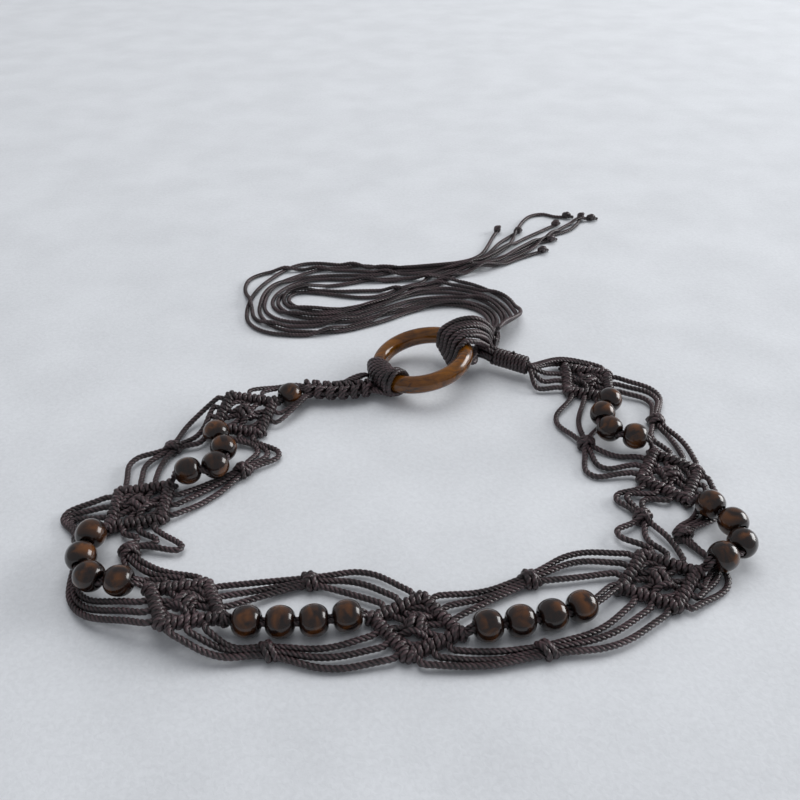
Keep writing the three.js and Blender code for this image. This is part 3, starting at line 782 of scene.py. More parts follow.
def ring_point(degrees, outwards, upwards):
    angle = math.radians(degrees)
    radius = RING_RADIUS + outwards
    in_plane = RING_MIDDLE + RING_X * radius * math.cos(angle) + RING_Y * radius * math.sin(angle)
    return in_plane + RING_Z * upwards


# Diamonds of double half hitches

WRAP_RADIUS = 0.00132
WRAP_COIL_RADIUS = 0.00162
WRAP_PITCH = 0.0023
HITCH_SHARES = (0.17, 0.395, 0.62, 0.845)
SIDE_TURNS = 2.15
TIP_TURNS = 2.2
TIP_SWELL = 1.15
CORNER_TURNS = 2.1
CORNER_CLOSENESS = 0.95
HOLDING_RADIUS = 0.0008
MOTIF_SEED = 40
UP = vec(0, 0, 1)
FROM_BELOW = -math.pi / 2  # the angle at which a coil starts under its axis

# How far a half hitch strays at random: along its side, in height, in its lean and in its pitch
STRAY_SHARE = 0.012
STRAY_HEIGHT = (-0.0001, 0.0002)
STRAY_LEAN = 0.12
STRAY_PITCH = (0.95, 1.08)

# The square knot's cords, in mm along, across and above the middle of the diamond
KNOT_LINING = [(-5.2, 7.0, -0.4), (-2.4, 8.4, 0.2), (0, 9.0, 0.4), (2.4, 8.4, 0.2), (5.2, 7.0, -0.4)]
KNOT_BAR = [
    (-5.0, 5.4, -0.5),
    (-3.5, 4.2, 0.5),
    (-1.6, 3.8, 1.7),
    (1.6, 3.8, 1.7),
    (3.5, 4.2, 0.5),
    (5.0, 5.4, -0.5),
]
KNOT_FILLER = [
    (-8.6, 2.9, -0.3),
    (-6.0, 2.2, -0.3),
    (-3.4, 1.4, -0.3),
    (0, 1.3, -0.3),
    (3.4, 1.4, -0.3),
    (6.0, 2.2, -0.3),
    (8.6, 2.9, -0.3),
]
KNOT_STUB = [(2.6, -2.9, -0.4), (3.2, -1.2, 0.6), (3.4, 0.2, 0.9), (3.1, 1.5, 0.6), (2.6, 3.0, -0.6)]

# Each cord that runs from side to side of the diamond: where it leaves the side as a share of the way to
# the tip, its way, its looseness and its radius in mm, and its groove
KNOT_CORDS = [
    (0.5, KNOT_LINING, 0.35, 1.25, 0.18),
    (0.3, KNOT_BAR, 0.2, 1.45, CordMesh.GROOVE),
    (0.66, KNOT_FILLER, 0.2, 1.45, CordMesh.GROOVE),
]
KNOT_SUNK = 0.0006  # how far those cords start and end below the side's middle

# The two loops over the crossing cords, in mm
KNOT_LOOP_PLACE = 1.65
KNOT_LOOP_LEAN = 0.5
KNOT_LOOP_WIDTH = 3.3
KNOT_LOOP_HEIGHT = 2.0
KNOT_LOOP_CROWN = 0.6
KNOT_LOOP_RADIUS = 1.6
KNOT_LOOP_STRAY = 0.06
KNOT_STUB_RADIUS = 1.35
KNOT_STUB_STRAY = 0.15


def wrap(cords, place, middle, along, outward, turns, pitch=WRAP_PITCH, radius=WRAP_COIL_RADIUS):
    path = coil(middle, along, outward, UP, radius, turns, pitch, FROM_BELOW)
    cords.add(place.at(path), WRAP_RADIUS, groove=TIGHT)


def diamond_side(cords, place, end, side, draw):
    """One side: four double half hitches over a holding cord."""
    corner, tip = corner_point(side), tip_point(end)
    along = unit(tip - corner)
    outward = unit(vec(end * HALF_WIDTH, side * HALF_LENGTH))
    for share in HITCH_SHARES:
        share += draw.uniform(-STRAY_SHARE, STRAY_SHARE)
        middle = corner * (1 - share) + tip * share + UP * draw.uniform(*STRAY_HEIGHT)
        lean = unit(along + outward * draw.uniform(-STRAY_LEAN, STRAY_LEAN))
        across = unit(outward - lean * float(np.dot(outward, lean)))
        wrap(cords, place, middle, lean, across, SIDE_TURNS, WRAP_PITCH * draw.uniform(*STRAY_PITCH))
    holding = [corner - along * mm(1), corner * 0.5 + tip * 0.5, tip + along * mm(1)]
    cords.add(place.at(holding), HOLDING_RADIUS)


def diamond_joints(cords, place):
    """The wraps that close the tips and turn the corners."""
    for end in (-1, 1):
        middle = tip_point(end) + vec(end * mm(0.2), 0)
        radius = WRAP_COIL_RADIUS * TIP_SWELL
        wrap(cords, place, middle, vec(end, 0), vec(0, 1), TIP_TURNS, WRAP_PITCH, radius)
    for side in (-1, 1):
        middle = corner_point(side)
        wrap(cords, place, middle, vec(1, 0), vec(0, side), CORNER_TURNS, WRAP_PITCH * CORNER_CLOSENESS)


def square_knot(cords, place, draw):
    """The knot in the middle: crossing cords, two wraps over them and a bar at each side."""

    def near(x, y, z, looseness):
        x += draw.uniform(-looseness, looseness)
        y += draw.uniform(-looseness, looseness)
        return vec(mm(x), mm(y), mm(z))

    sunk = vec(0, 0, -KNOT_SUNK)
    for side in (-1, 1):
        for share, way, looseness, radius, groove in KNOT_CORDS:
            points = [side_point(-1, side, share) + sunk]
            points += [near(x, side * y, z, looseness) for x, y, z in way]
            points.append(side_point(1, side, share) + sunk)
            cords.add(place.at(points), mm(radius), groove=groove)
    for hand in (-1, 1):
        loop = []
        for degrees in range(-200, 181, 20):
            angle = math.radians(degrees)
            y = KNOT_LOOP_WIDTH * math.sin(angle)
            z = KNOT_LOOP_HEIGHT * math.cos(angle) + KNOT_LOOP_CROWN * max(0, math.cos(angle))
            lean = KNOT_LOOP_LEAN * (1 - math.cos(angle)) / 2
            x = hand * (KNOT_LOOP_PLACE + lean) + KNOT_LOOP_LEAN * degrees / 180
            loop.append(near(x, y, z, KNOT_LOOP_STRAY))
        cords.add(place.at(loop), mm(KNOT_LOOP_RADIUS), groove=TIGHT)
        stub = [near(hand * x, hand * y, z, KNOT_STUB_STRAY) for x, y, z in KNOT_STUB]
        cords.add(place.at(stub), mm(KNOT_STUB_RADIUS))


def make_diamond(index):
    draw = np.random.default_rng(MOTIF_SEED + index)
    cords, place = CordMesh(), DIAMONDS[index]
    for end in (-1, 1):
        for side in (-1, 1):
            diamond_side(cords, place, end, side, draw)
    diamond_joints(cords, place)
    square_knot(cords, place, draw)
    name = f"motif_{index + 1}"
    return cords.piece("knotted_" + name, name)


# Side strands with their gathering knots

FREE_RADIUS = 0.00138
DRAWN = {3: 0.3, 4: 0.3}  # how far the front strands are drawn towards the middle one of their three
SWING = 1.2  # how much further each strand swings than its row says
SWAY = 0.00035  # how far a strand strays at random
CORNER_CUT = 0.22
KNOT_HALF = 0.0026
SECTION_SEEDS = 10


def rounded(points):
    """The same way with each inner corner cut into two softer ones."""
    way = list(points[:2])
    for before, corner, after in zip(points[1:], points[2:-2], points[3:]):
        way.append(corner * (1 - CORNER_CUT) + before * CORNER_CUT)
        way.append(corner * (1 - CORNER_CUT) + after * CORNER_CUT)
    return way + list(points[-2:])


def swung(start, end, share, height):
    """The middle of the way between two points, moved to the left of it and laid at its own height."""
    along = unit(level(end - start))
    middle = (start + end) / 2 + left_of(along) * share * PITCH
    middle[2] = ORIGIN[2] + height * CORD_DIAMETER
    return middle


GATHER_COIL_RADIUS = 0.0025
GATHER_TURNS = 2.1
GATHER_PITCH = 0.0024
GATHER_SLANT = 0.45  # the most that a knot's turns slant
GATHER_FLATNESS = 0.3  # how much wider than high the turns are
GATHER_TURN_RADIUS = 0.00135
GATHER_OVER_RADIUS = 0.0013
GATHER_OVER_HALF = 3.6  # mm along the bundle
GATHER_OVER_SIDEWAYS = 2.8  # mm across it
GATHER_OVER_STRAY = 0.2


def gathering_knot(cords, middle, along, draw):
    """An overhand knot: slanting turns round the bundle and one cord drawn over them."""
    across = left_of(along)
    middle = middle + vec(0, 0, mm(0.1))
    slant = unit(along + across * draw.uniform(-GATHER_SLANT, GATHER_SLANT))
    beside = left_of(slant)
    path = coil(middle, slant, beside, UP, GATHER_COIL_RADIUS, GATHER_TURNS, GATHER_PITCH, FROM_BELOW)
    stretch = (path - middle) @ beside
    cords.add(path + np.outer(stretch * GATHER_FLATNESS, beside), GATHER_TURN_RADIUS, groove=TIGHT)
    hand = 1 if draw.random() < 0.5 else -1
    over = []
    for t in np.linspace(-1, 1, 7):
        bulge = math.cos(t * math.pi / 2)
        sideways = hand * GATHER_OVER_SIDEWAYS * t + draw.uniform(-GATHER_OVER_STRAY, GATHER_OVER_STRAY)
        point = middle + along * mm(GATHER_OVER_HALF * t) + across * mm(sideways)
        over.append(point + UP * mm(4.9 * bulge - 1.7))
    cords.add(over, GATHER_OVER_RADIUS, groove=TIGHT)


def make_strands(row):
    section, side_name, x, y, before, after, height = row
    draw = np.random.default_rng(section * SECTION_SEEDS + STRANDS.index(row))
    side = 1 if side_name == "inner" else -1
    knot = spot(x, y, GATHER_HEIGHT / 2)
    first = port(section - 1, 1, side, PORTS[1])[1]
    last = port(section, -1, side, PORTS[1])[1]
    along = unit(level(last - first))
    left = left_of(along)
    cords = CordMesh()
    drawn = DRAWN.get(section, 0)
    middle_before = swung(first, knot, before[1], height)
    middle_after = swung(knot, last, after[1], height)
    for k, share in enumerate(PORTS):
        inside, start, out = port(section - 1, 1, side, share)
        inside_end, end, out_end = port(section, -1, side, share)
        in_knot = knot + left * side * (1 - k) * CORD_DIAMETER * 0.75
        sway = vec(*draw.normal(0, SWAY, 3))
        going = swung(start, in_knot, before[k] * SWING, height)
        going = going * (1 - drawn) + middle_before * drawn + sway
        coming = swung(in_knot, end, after[k] * SWING, height)
        coming = coming * (1 - drawn) + middle_after * drawn - sway
        through = unit(unit(in_knot - going) + unit(coming - in_knot))
        points = [
            inside,
            start,
            start + out * CORD_DIAMETER,
            going,
            in_knot - through * KNOT_HALF,
            in_knot + through * KNOT_HALF,
            coming,
            end + out_end * CORD_DIAMETER,
            end,
            inside_end,
        ]
        cords.add(rounded(points), FREE_RADIUS)
    gathering_knot(cords, knot, along, draw)
    return cords.piece(f"side_strands_{section}_{side_name}", f"strands_{section}_{side_name}")


# Bead strings

PAIR_OFFSET = 0.42  # of each cord of a pair from the middle of the bore, in cord diameters
PAIR_RADIUS = 0.46  # the same


def make_bead_cord(index):
    """The two cords that carry a string of beads, side by side, between two diamonds' tips."""
    rise = vec(0, 0, SIDE_RADIUS * 0.7)
    start = port_of_tip(index, 1) + rise
    end = port_of_tip(index + 1, -1) + rise
    before = DIAMONDS[index].at(tip_point(1)) + rise
    after = DIAMONDS[index + 1].at(tip_point(-1)) + rise
    middle = [start]
    half = BEAD_LENGTH / 2 + CLEARANCE
    for place, along in beads_of_string(index):
        middle += [place - along * half, place + along * half]
    middle.append(end)
    cords = CordMesh()
    for side in (-1, 1):
        points = [before]
        for i, point in enumerate(middle):
            previous = middle[max(i - 1, 0)]
            following = middle[min(i + 1, len(middle) - 1)]
            across = left_of(unit(level(following - previous)))
            points.append(point + across * side * CORD_DIAMETER * PAIR_OFFSET)
        points.append(after)
        cords.add(points, CORD_DIAMETER * PAIR_RADIUS)
    return cords.piece(f"beading_cord_{index + 1}", f"bead_cord_{index + 1}")


def put_bead(model, name, node, middle, along, seed):
    mesh = model.data.copy()
    mesh.name = name
    bead = bpy.data.objects.new(name, mesh)
    bpy.context.scene.collection.objects.link(bead)
    draw = np.random.default_rng(seed)
    keep_own_place(mesh, (0, *draw.uniform(-0.05, 0.05, 2)))
    across = unit(np.cross(along, UP))
    third = np.cross(along, across)
    angle = draw.uniform(0, 2 * math.pi)
    x_axis = across * math.cos(angle) + third * math.sin(angle)
    moved_to(mesh, middle, x_axis, np.cross(along, x_axis), along)
    mesh.materials.clear()
    mesh.materials.append(wood_of_beads())
    return finished(bead, "bead", node)


def make_beads():
    model = model_bead()
    count = 0
    for index in range(len(BEAD_STRINGS)):
        for k, (middle, along) in enumerate(beads_of_string(index)):
            count += 1
            node = f"bead_{index + 1}_{k + 1}"
            put_bead(model, "turned_" + node, node, middle, along, count)
    middle, heading = neck_bead()
    put_bead(model, "turned_neck_bead", "neck_bead", middle, heading, count + 1)
    bpy.data.objects.remove(model)


# Ring


def make_ring():
    """One turned hoop of an oval section, standing on its lower edge."""
    deselect()
    bpy.ops.mesh.primitive_torus_add(
        major_segments=160,
        minor_segments=40,
        major_radius=RING_RADIUS,
        minor_radius=RING_WIRE_WIDTH / 2,
    )
    ring = bpy.context.object
    ring.name = ring.data.name = "wooden_ring"
    bpy.ops.object.mode_set(mode="EDIT")
    bpy.ops.mesh.select_all(action="SELECT")
    bpy.ops.transform.resize(value=(1, 1, RING_WIRE_HEIGHT / RING_WIRE_WIDTH))
    bpy.ops.object.mode_set(mode="OBJECT")
    bpy.ops.object.shade_smooth()
    keep_own_place(ring.data)
    moved_to(ring.data, RING_MIDDLE, RING_X, RING_Y, RING_Z)
    ring.data.materials.append(wood_of_ring())
    return finished(ring, "ring", "ring")


# Cords on the ring

RING_WRAP_ANGLE = 210
RING_WRAP_COILS = 8.6
RING_WRAP_RADIUS = 0.00128
RING_WRAP_SLANT = -7
RING_WRAP_CROSSINGS = [(2.0, 2.4), (7.5, 1.9)]  # degrees past the coils' end, lift in cord radii
CROSSING_SWEEP = 16


def coil_on_ring(cords, middle_degrees, coils, radius, spin, slant=0.0):
    """Tight coils round the ring's wire. A slant carries their upper side further round the ring."""
    step = math.degrees(2 * radius / RING_RADIUS)
    path = []
    per_turn = 20
    for i in range(int(coils * per_turn) + 1):
        turn = i / per_turn
        angle = spin + turn * 2 * math.pi
        outwards = math.cos(angle) * (RING_WIRE_WIDTH / 2 + radius)
        upwards = math.sin(angle) * (RING_WIRE_HEIGHT / 2 + radius)
        degrees = middle_degrees + step * (turn - coils / 2) + slant * math.cos(angle)
        path.append(ring_point(degrees, outwards, upwards))
    cords.add(path, radius * 1.04, groove=TIGHT)


def make_ring_wrap():
    cords = CordMesh()
    radius = RING_WRAP_RADIUS
    spread = math.degrees(RING_WRAP_COILS * 2 * radius / RING_RADIUS)
    coil_on_ring(cords, RING_WRAP_ANGLE, RING_WRAP_COILS, radius, math.pi, RING_WRAP_SLANT)
    for shift, lift in RING_WRAP_CROSSINGS:
        crossing = []
        for t in np.linspace(0, 1, 9):
            angle = math.pi * (1.2 - 1.5 * t)
            outwards = math.cos(angle) * (RING_WIRE_WIDTH / 2 + radius * 1.5)
            upwards = math.sin(angle) * (RING_WIRE_HEIGHT / 2 + radius * lift)
            degrees = RING_WRAP_ANGLE + spread / 2 + shift - CROSSING_SWEEP * t
            crossing.append(ring_point(degrees, outwards, upwards))
        cords.add(crossing, radius, groove=TIGHT)
    return cords.piece("coils_on_ring", "ring_wrap")


# The band of square knots

BAND_WIDTH = 0.0115
BAND_KNOT_PITCH = 0.0056
BAND_ROWS = (-1.5, -0.5, 0.5, 1.5)
BAND_ROW_WIDTH = 0.0019
BAND_LOOSE_CORDS = [(0.0, 0.42), (0.0026, 0.6)]  # how far inwards, and the share of the band that they reach
BAND_BAR_RADIUS = 0.00134
BAND_FILLER_RADIUS = 0.00125
BAND_LOOSE_RADIUS = 0.0012
BAND_UNDER_RADIUS = 0.001

# The upper bar of a half knot: shares of its half width, and of its height, from side to side
BAND_BAR = [
    (-1.0, -0.5),
    (-1.0, 0.35),
    (-0.58, 1.15),
    (0.0, 0.75),
    (0.58, 1.15),
    (1.0, 0.35),
    (1.0, -0.5),
]
BAND_BAR_HEIGHT = 0.0023


def band_way():
    bead, heading = neck_bead()
    band_end = bead + heading * (BEAD_LENGTH / 2 + CORD_DIAMETER * 1.4)
    reach = RING_WIRE_WIDTH / 2 + CORD_DIAMETER * 1.6 + CLEARANCE * 3
    at_ring = ring_point(RING_WRAP_ANGLE, reach, -RING_WIRE_HEIGHT * 0.2)
    bend = (band_end + at_ring) / 2 + vec(0, -CORD_DIAMETER)
    return spaced(smooth([band_end, bend, at_ring], 24), mm(0.5))[0]


def make_sennit():
    way = band_way()
    lengths = distances(way)
    total = lengths[-1]
    knots = int(round(total / BAND_KNOT_PITCH))
    pitch = total / knots

    def at(distance, across, up):
        distance = min(max(distance, 0), total)
        point = point_along(way, lengths, distance)
        ahead = point_along(way, lengths, min(distance + mm(1), total))
        behind = point_along(way, lengths, max(distance - mm(1), 0))
        along = unit(ahead - behind)
        left = unit(left_of(unit(level(along))))
        return point + left * across + np.cross(along, left) * up

    cords = CordMesh()
    for row in BAND_ROWS:
        filler = [at(distance, row * BAND_ROW_WIDTH, 0) for distance in np.linspace(0, total, 12)]
        angle = RING_WRAP_ANGLE + 3 - row * 9
        filler += [ring_point(angle, mm(6), -mm(3.4)), ring_point(angle, mm(2.5), -mm(6.2))]
        cords.add(filler, BAND_FILLER_RADIUS)
    for shift, reach in BAND_LOOSE_CORDS:
        loose = [
            at(total * (1 - reach), BAND_WIDTH / 2 - mm(1), mm(1.2)),
            at(total * (1 - reach * 0.6), BAND_WIDTH / 2 + mm(1.6) - shift, mm(2.2)),
            at(total * (1 - reach * 0.25), BAND_WIDTH / 2 + mm(2.4) - shift, mm(3.0)),
            ring_point(RING_WRAP_ANGLE - 16, RING_WIRE_WIDTH / 2 + mm(3.4), mm(0.5)),
            ring_point(RING_WRAP_ANGLE - 18, RING_WIRE_WIDTH / 2 + mm(1), -mm(4)),
        ]
        cords.add(loose, BAND_LOOSE_RADIUS)
    for half in range(knots * 2):
        start = half * pitch / 2
        hand = 1 if half % 2 else -1
        path = []
        for across, up in BAND_BAR:
            distance = start + (0.9 - 0.8 * abs(across) + 0.3 * hand * across) * pitch / 2
            path.append(at(distance, across * (BAND_WIDTH / 2 - mm(1.2)), up * BAND_BAR_HEIGHT))
        cords.add(path, BAND_BAR_RADIUS, groove=FIRM)
        under = [point - 2 * (point - at(start + pitch / 4, 0, 0))[2] * UP for point in path]
        cords.add(under, BAND_UNDER_RADIUS, groove=TIGHT)
    add_bead_sides(cords)
    return cords.piece("square_knot_band", "sennit")


def add_bead_sides(cords):
    """The cords that pass the band's bead, and the pair that carries it."""
    bead, heading = neck_bead()
    across = left_of(heading)
    way = band_way()
    for side in (-1, 1):
        for share, out in ((PORTS[2], 0.0), (PORTS[1], mm(1.5))):
            inside, start, outward = port(0, -1, -side, share)
            points = [
                way[6] + across * side * (mm(2.4) + out * 0.7),
                bead + heading * BEAD_LENGTH * 0.55 + across * side * (BEAD_DIAMETER * 0.42 + out),
                bead + across * side * (BEAD_DIAMETER / 2 + CORD_DIAMETER * 0.6 + out),
                start + outward * CORD_DIAMETER,
                start,
                inside,
            ]
            cords.add(points, BAND_LOOSE_RADIUS)
        tip = port_of_tip(0, -1)
        reach = across * side * CORD_DIAMETER * PAIR_OFFSET
        carried = [
            tip - heading * mm(2),
            tip + reach,
            bead - heading * BEAD_LENGTH / 2 + reach,
            bead + heading * BEAD_LENGTH / 2 + reach,
            way[4] + reach,
        ]
        cords.add(carried, CORD_DIAMETER * PAIR_RADIUS)


# The wrapped neck, the cords behind it and the hitch over the ring

NECK_LIFT = 0.0022  # the stiff bundle holds its coils off the table
NECK_TURNS = 9.2
NECK_CORD_RADIUS = 0.0012

# Where the eight cords lie in the bundle, from its middle, in shares of a lane
BUNDLE_SPREAD = [
    (0, 0),
    (0.95, 0),
    (-0.95, 0),
    (0.5, 0.85),
    (-0.5, 0.85),
    (0.5, -0.85),
    (-0.5, -0.85),
    (0, 0.4),
]
BUNDLE_LANE = 0.002
BUNDLE_CORD_RADIUS = 0.001
TUFT_RADIUS = 0.0007


def neck_place():
    x, y, heading = NECK_PLACE
    middle = spot(x, y, NECK_DIAMETER * 0.6 + NECK_LIFT)
    return middle, turned(vec(1, 0), heading)


def make_neck_wrap():
    middle, heading = neck_place()
    across = left_of(heading)
    cords = CordMesh()
    pitch = NECK_LENGTH / NECK_TURNS * 0.95
    reach = NECK_DIAMETER / 2 - NECK_CORD_RADIUS * 0.7
    path = coil(middle, heading, across, UP, reach, NECK_TURNS, pitch, FROM_BELOW, per_turn=16)
    cords.add(path, NECK_CORD_RADIUS, groove=TIGHT)
    half = heading * NECK_LENGTH / 2
    for x, y in BUNDLE_SPREAD:
        shift = (across * x + UP * y) * BUNDLE_LANE
        cords.add([middle - half + shift, middle + shift, middle + half + shift], BUNDLE_CORD_RADIUS)
    tuft = middle + across * -mm(1.5) + UP * (NECK_DIAMETER / 2 - mm(0.6)) - heading * mm(1)
    tuft_end = tuft + UP * mm(1.6) + across * mm(0.6)
    cords.add([tuft - UP * mm(1.5), tuft, tuft_end], TUFT_RADIUS, step=mm(0.4))
    return cords.piece("coiled_neck", "neck_wrap")


def make_fan():
    middle, heading = neck_place()
    across = left_of(heading)
    mouth = middle - heading * (NECK_LENGTH / 2 - mm(1))
    last = len(MOTIFS) - 1
    cords = CordMesh()
    for i, (side, port_number, swing, height) in enumerate(FAN):
        inside, start, outward = port(last, 1, side, PORTS[port_number])
        x, y = BUNDLE_SPREAD[i + 1]
        order = ((len(FAN) - 1) / 2 - i) * -mm(1.0)
        leaving = mouth - heading * mm(3.5) + across * order + UP * y * mm(0.8)
        stub = start + outward * CORD_DIAMETER
        in_mouth = mouth + (across * x + UP * y) * BUNDLE_LANE
        points = [in_mouth, leaving, swung(leaving, stub, swing, height), stub, start, inside]
        cords.add(points, FREE_RADIUS)
    tip = port_of_tip(last, 1)
    out = DIAMONDS[last].x
    points = [mouth, mouth - heading * mm(4), tip + out * CORD_DIAMETER, tip - out * mm(1.5)]
    cords.add(points, CORD_DIAMETER / 2)
    return cords.piece("neck_cords", "neck_fan")


HITCH_ARCS = 6
HITCH_RADIUS = 0.00155
HITCH_ROOT_LANE = 0.0031
HITCH_BELOW = (44, 10)  # where the first and the last cord pass under the ring, in degrees round it
HITCH_SWELL = 0.0009  # how far the arch's middle cords rise over its outer ones
HITCH_UNEVEN = 0.00035  # how far each cord lies higher or lower than the next

# The turns round the root: reach and number of turns, with the angle at which they start
HITCH_TURNS = [(0.0056, 2.6, -math.pi * 0.6), (0.0034, 2.2, -math.pi * 0.2)]

# The farthest and the nearest cord of the arch over the ring, in mm right of, behind and above the origin
HITCH_FAR = [
    (22, 99, 7),
    (21, 94, 14),
    (22, 93, 21),
    (27, 95, 24),
    (33, 97, 25.5),
    (40, 98, 25.5),
    (46, 100, 21.5),
    (50, 102, 15.5),
]
HITCH_NEAR = [
    (27, 83, 5),
    (29, 79, 13),
    (31, 77, 21.5),
    (34, 79, 23.5),
    (39, 81, 22),
    (43, 86, 18),
    (47, 91, 12.5),
    (48, 94, 8),
]
HITCH_TUCK = ORIGIN + vec(mm(50), mm(105), mm(8.5))  # where the arch is tucked under its own turns


def make_hitch():
    """The bundle goes under the ring, up through it and over it, and is tied round its own root."""
    middle, heading = neck_place()
    across = left_of(heading)
    mouth = middle + heading * (NECK_LENGTH / 2 - mm(1))
    cords = CordMesh()
    low = -RING_WIRE_HEIGHT / 2
    first_below, last_below = HITCH_BELOW
    for k in range(HITCH_ARCS):
        share = k / (HITCH_ARCS - 1)
        x, y = BUNDLE_SPREAD[k]
        root = (across * x + UP * y) * HITCH_ROOT_LANE
        below = first_below + (last_below - first_below) * share
        points = [
            mouth + root,
            mouth + heading * mm(5) + root + UP * mm(1.5),
            mouth + heading * mm(10) + root + UP * mm(1.2),
            ring_point(below - 6, RING_WIRE_WIDTH * 0.4, low - mm(2.6) - abs(y) * mm(1.2)),
            ring_point(below, -RING_WIRE_WIDTH * 0.35, low - mm(2.2)),
        ]
        lift = UP * (HITCH_SWELL * math.sin(math.pi * share) + HITCH_UNEVEN * (-1) ** k)
        for i, (far, near) in enumerate(zip(HITCH_FAR, HITCH_NEAR)):
            point = ORIGIN + vec(*far) * mm(1) * (1 - share) + vec(*near) * mm(1) * share
            over_the_ring = 1 < i < len(HITCH_FAR) - 1
            points.append(point + lift * over_the_ring)
        points.append(HITCH_TUCK + UP * mm(2.5 - 5 * share))
        points.append(HITCH_TUCK - heading * mm(4) - UP * mm(2) * share)
        cords.add(points, HITCH_RADIUS, groove=FIRM)
    add_hitch_turns(cords, heading)
    add_hitch_tails(cords)
    return cords.piece("hitch_on_ring", "ring_hitch")


def add_hitch_turns(cords, heading):
    """The turns of the bundle round its own root, between the ring and the coiled neck."""
    along = unit(heading * -1 + UP * 0.25)
    across = left_of(unit(level(along)))
    up = np.cross(along, across)
    centre = HITCH_TUCK + heading * mm(0.5)
    for reach, turns, start in HITCH_TURNS:
        path = coil(centre, along, across, up, reach, turns, mm(2.7), start, per_turn=18)
        cords.add(path, mm(1.3), groove=FIRM)


def add_hitch_tails(cords):
    """The free ends come out of the knot behind it and drop to the table."""
    for k, way in enumerate(TIE_WAYS):
        order = k - (len(TIE_WAYS) - 1) / 2
        landing = way[0]
        onwards = unit(way[8] - landing)
        source = HITCH_TUCK + vec(mm(0.5) * order + mm(0.5), mm(4.6), mm(1.2) + mm(1.1) * (k % 3))
        over = source * 0.55 + landing * 0.45 + vec(0, mm(1.0), 0)
        over[2] = source[2] * 0.6 + landing[2] * 0.4 + mm(0.8)
        inside = source - vec(0, mm(3), mm(1))
        points = [inside, source, over, landing - onwards * mm(1.5), landing + onwards * mm(1)]
        cords.add(points, TIE_RADIUS)


# Free ends

TIE_NODES = ("tie_cords_inner", "tie_cords_middle", "tie_cords_outer")

# The way of each bundle, in shares of PITCH
TIE_ROUTES = {
    "inner": [
        (0.46, 1.08), (0.5, 1.19), (0.54, 1.3), (0.54, 1.41), (0.49, 1.5), (0.4, 1.55),
        (0.29, 1.57), (0.16, 1.55), (0.04, 1.5), (-0.07, 1.42), (-0.18, 1.35), (-0.29, 1.29),
        (-0.41, 1.24), (-0.56, 1.22), (-0.73, 1.26), (-0.84, 1.38), (-0.87, 1.55), (-0.85, 1.73),
        (-0.79, 1.86), (-0.68, 1.96), (-0.5, 2.02), (-0.29, 2.03), (-0.08, 2.02), (0.09, 1.98),
        (0.26, 2.06), (0.44, 2.19), (0.6, 2.26), (0.68, 2.37), (0.71, 2.49), (0.69, 2.61),
    ],
    "middle": [
        (0.53, 1.06), (0.57, 1.17), (0.61, 1.29), (0.61, 1.43), (0.56, 1.54), (0.47, 1.62),
        (0.37, 1.66), (0.24, 1.67), (0.12, 1.65), (0, 1.58), (-0.12, 1.5), (-0.24, 1.43),
        (-0.37, 1.38), (-0.54, 1.35), (-0.69, 1.39), (-0.78, 1.5), (-0.79, 1.64), (-0.76, 1.75),
        (-0.66, 1.86), (-0.48, 1.9), (-0.29, 1.9), (-0.1, 1.89), (0.1, 1.89), (0.3, 1.98),
        (0.48, 2.08), (0.64, 2.17), (0.78, 2.3), (0.9, 2.45), (1, 2.6), (1.1, 2.72),
    ],
    "outer": [
        (0.6, 1.04), (0.63, 1.15), (0.67, 1.28), (0.68, 1.43), (0.63, 1.58), (0.53, 1.68),
        (0.42, 1.74), (0.3, 1.78), (0.18, 1.77), (0.07, 1.71), (-0.03, 1.64), (-0.15, 1.56),
        (-0.31, 1.49), (-0.5, 1.46), (-0.63, 1.48), (-0.71, 1.56), (-0.72, 1.64), (-0.66, 1.69),
        (-0.54, 1.71), (-0.39, 1.72), (-0.23, 1.74), (-0.09, 1.77), (0.02, 1.79), (0.14, 1.83),
        (0.32, 1.9), (0.5, 2), (0.68, 2.1), (0.85, 2.24), (1.02, 2.45), (1.2, 2.64),
        (1.37, 2.76),
    ],
}

# Each free end's own last points, in shares of PITCH
TIE_ENDS = [
    [(0.43, 2.12), (0.53, 2.2), (0.59, 2.33), (0.64, 2.48), (0.68, 2.58)],
    [(0.48, 2.11), (0.57, 2.2), (0.68, 2.39), (0.76, 2.49), (0.82, 2.56)],
    [
        (0.51, 2.1), (0.61, 2.18), (0.73, 2.34), (0.8, 2.52), (0.86, 2.7), (0.94, 2.83),
        (1.04, 2.87), (1.12, 2.82), (1.2, 2.82),
    ],
    [(0.47, 2.07), (0.58, 2.15), (0.71, 2.3), (0.86, 2.46), (0.99, 2.58), (1.1, 2.68)],
    [(0.52, 2.06), (0.64, 2.15), (0.79, 2.26), (0.92, 2.38), (1.03, 2.43)],
    [(0.55, 2.06), (0.69, 2.16), (0.86, 2.33), (1.02, 2.49), (1.18, 2.59), (1.26, 2.7), (1.3, 2.8)],
    [(0.56, 2.02), (0.69, 2.12), (0.86, 2.27), (1.01, 2.46), (1.15, 2.64), (1.27, 2.75), (1.37, 2.78)],
    [(0.67, 2.07), (0.79, 2.16), (0.88, 2.22), (0.95, 2.26)],
]

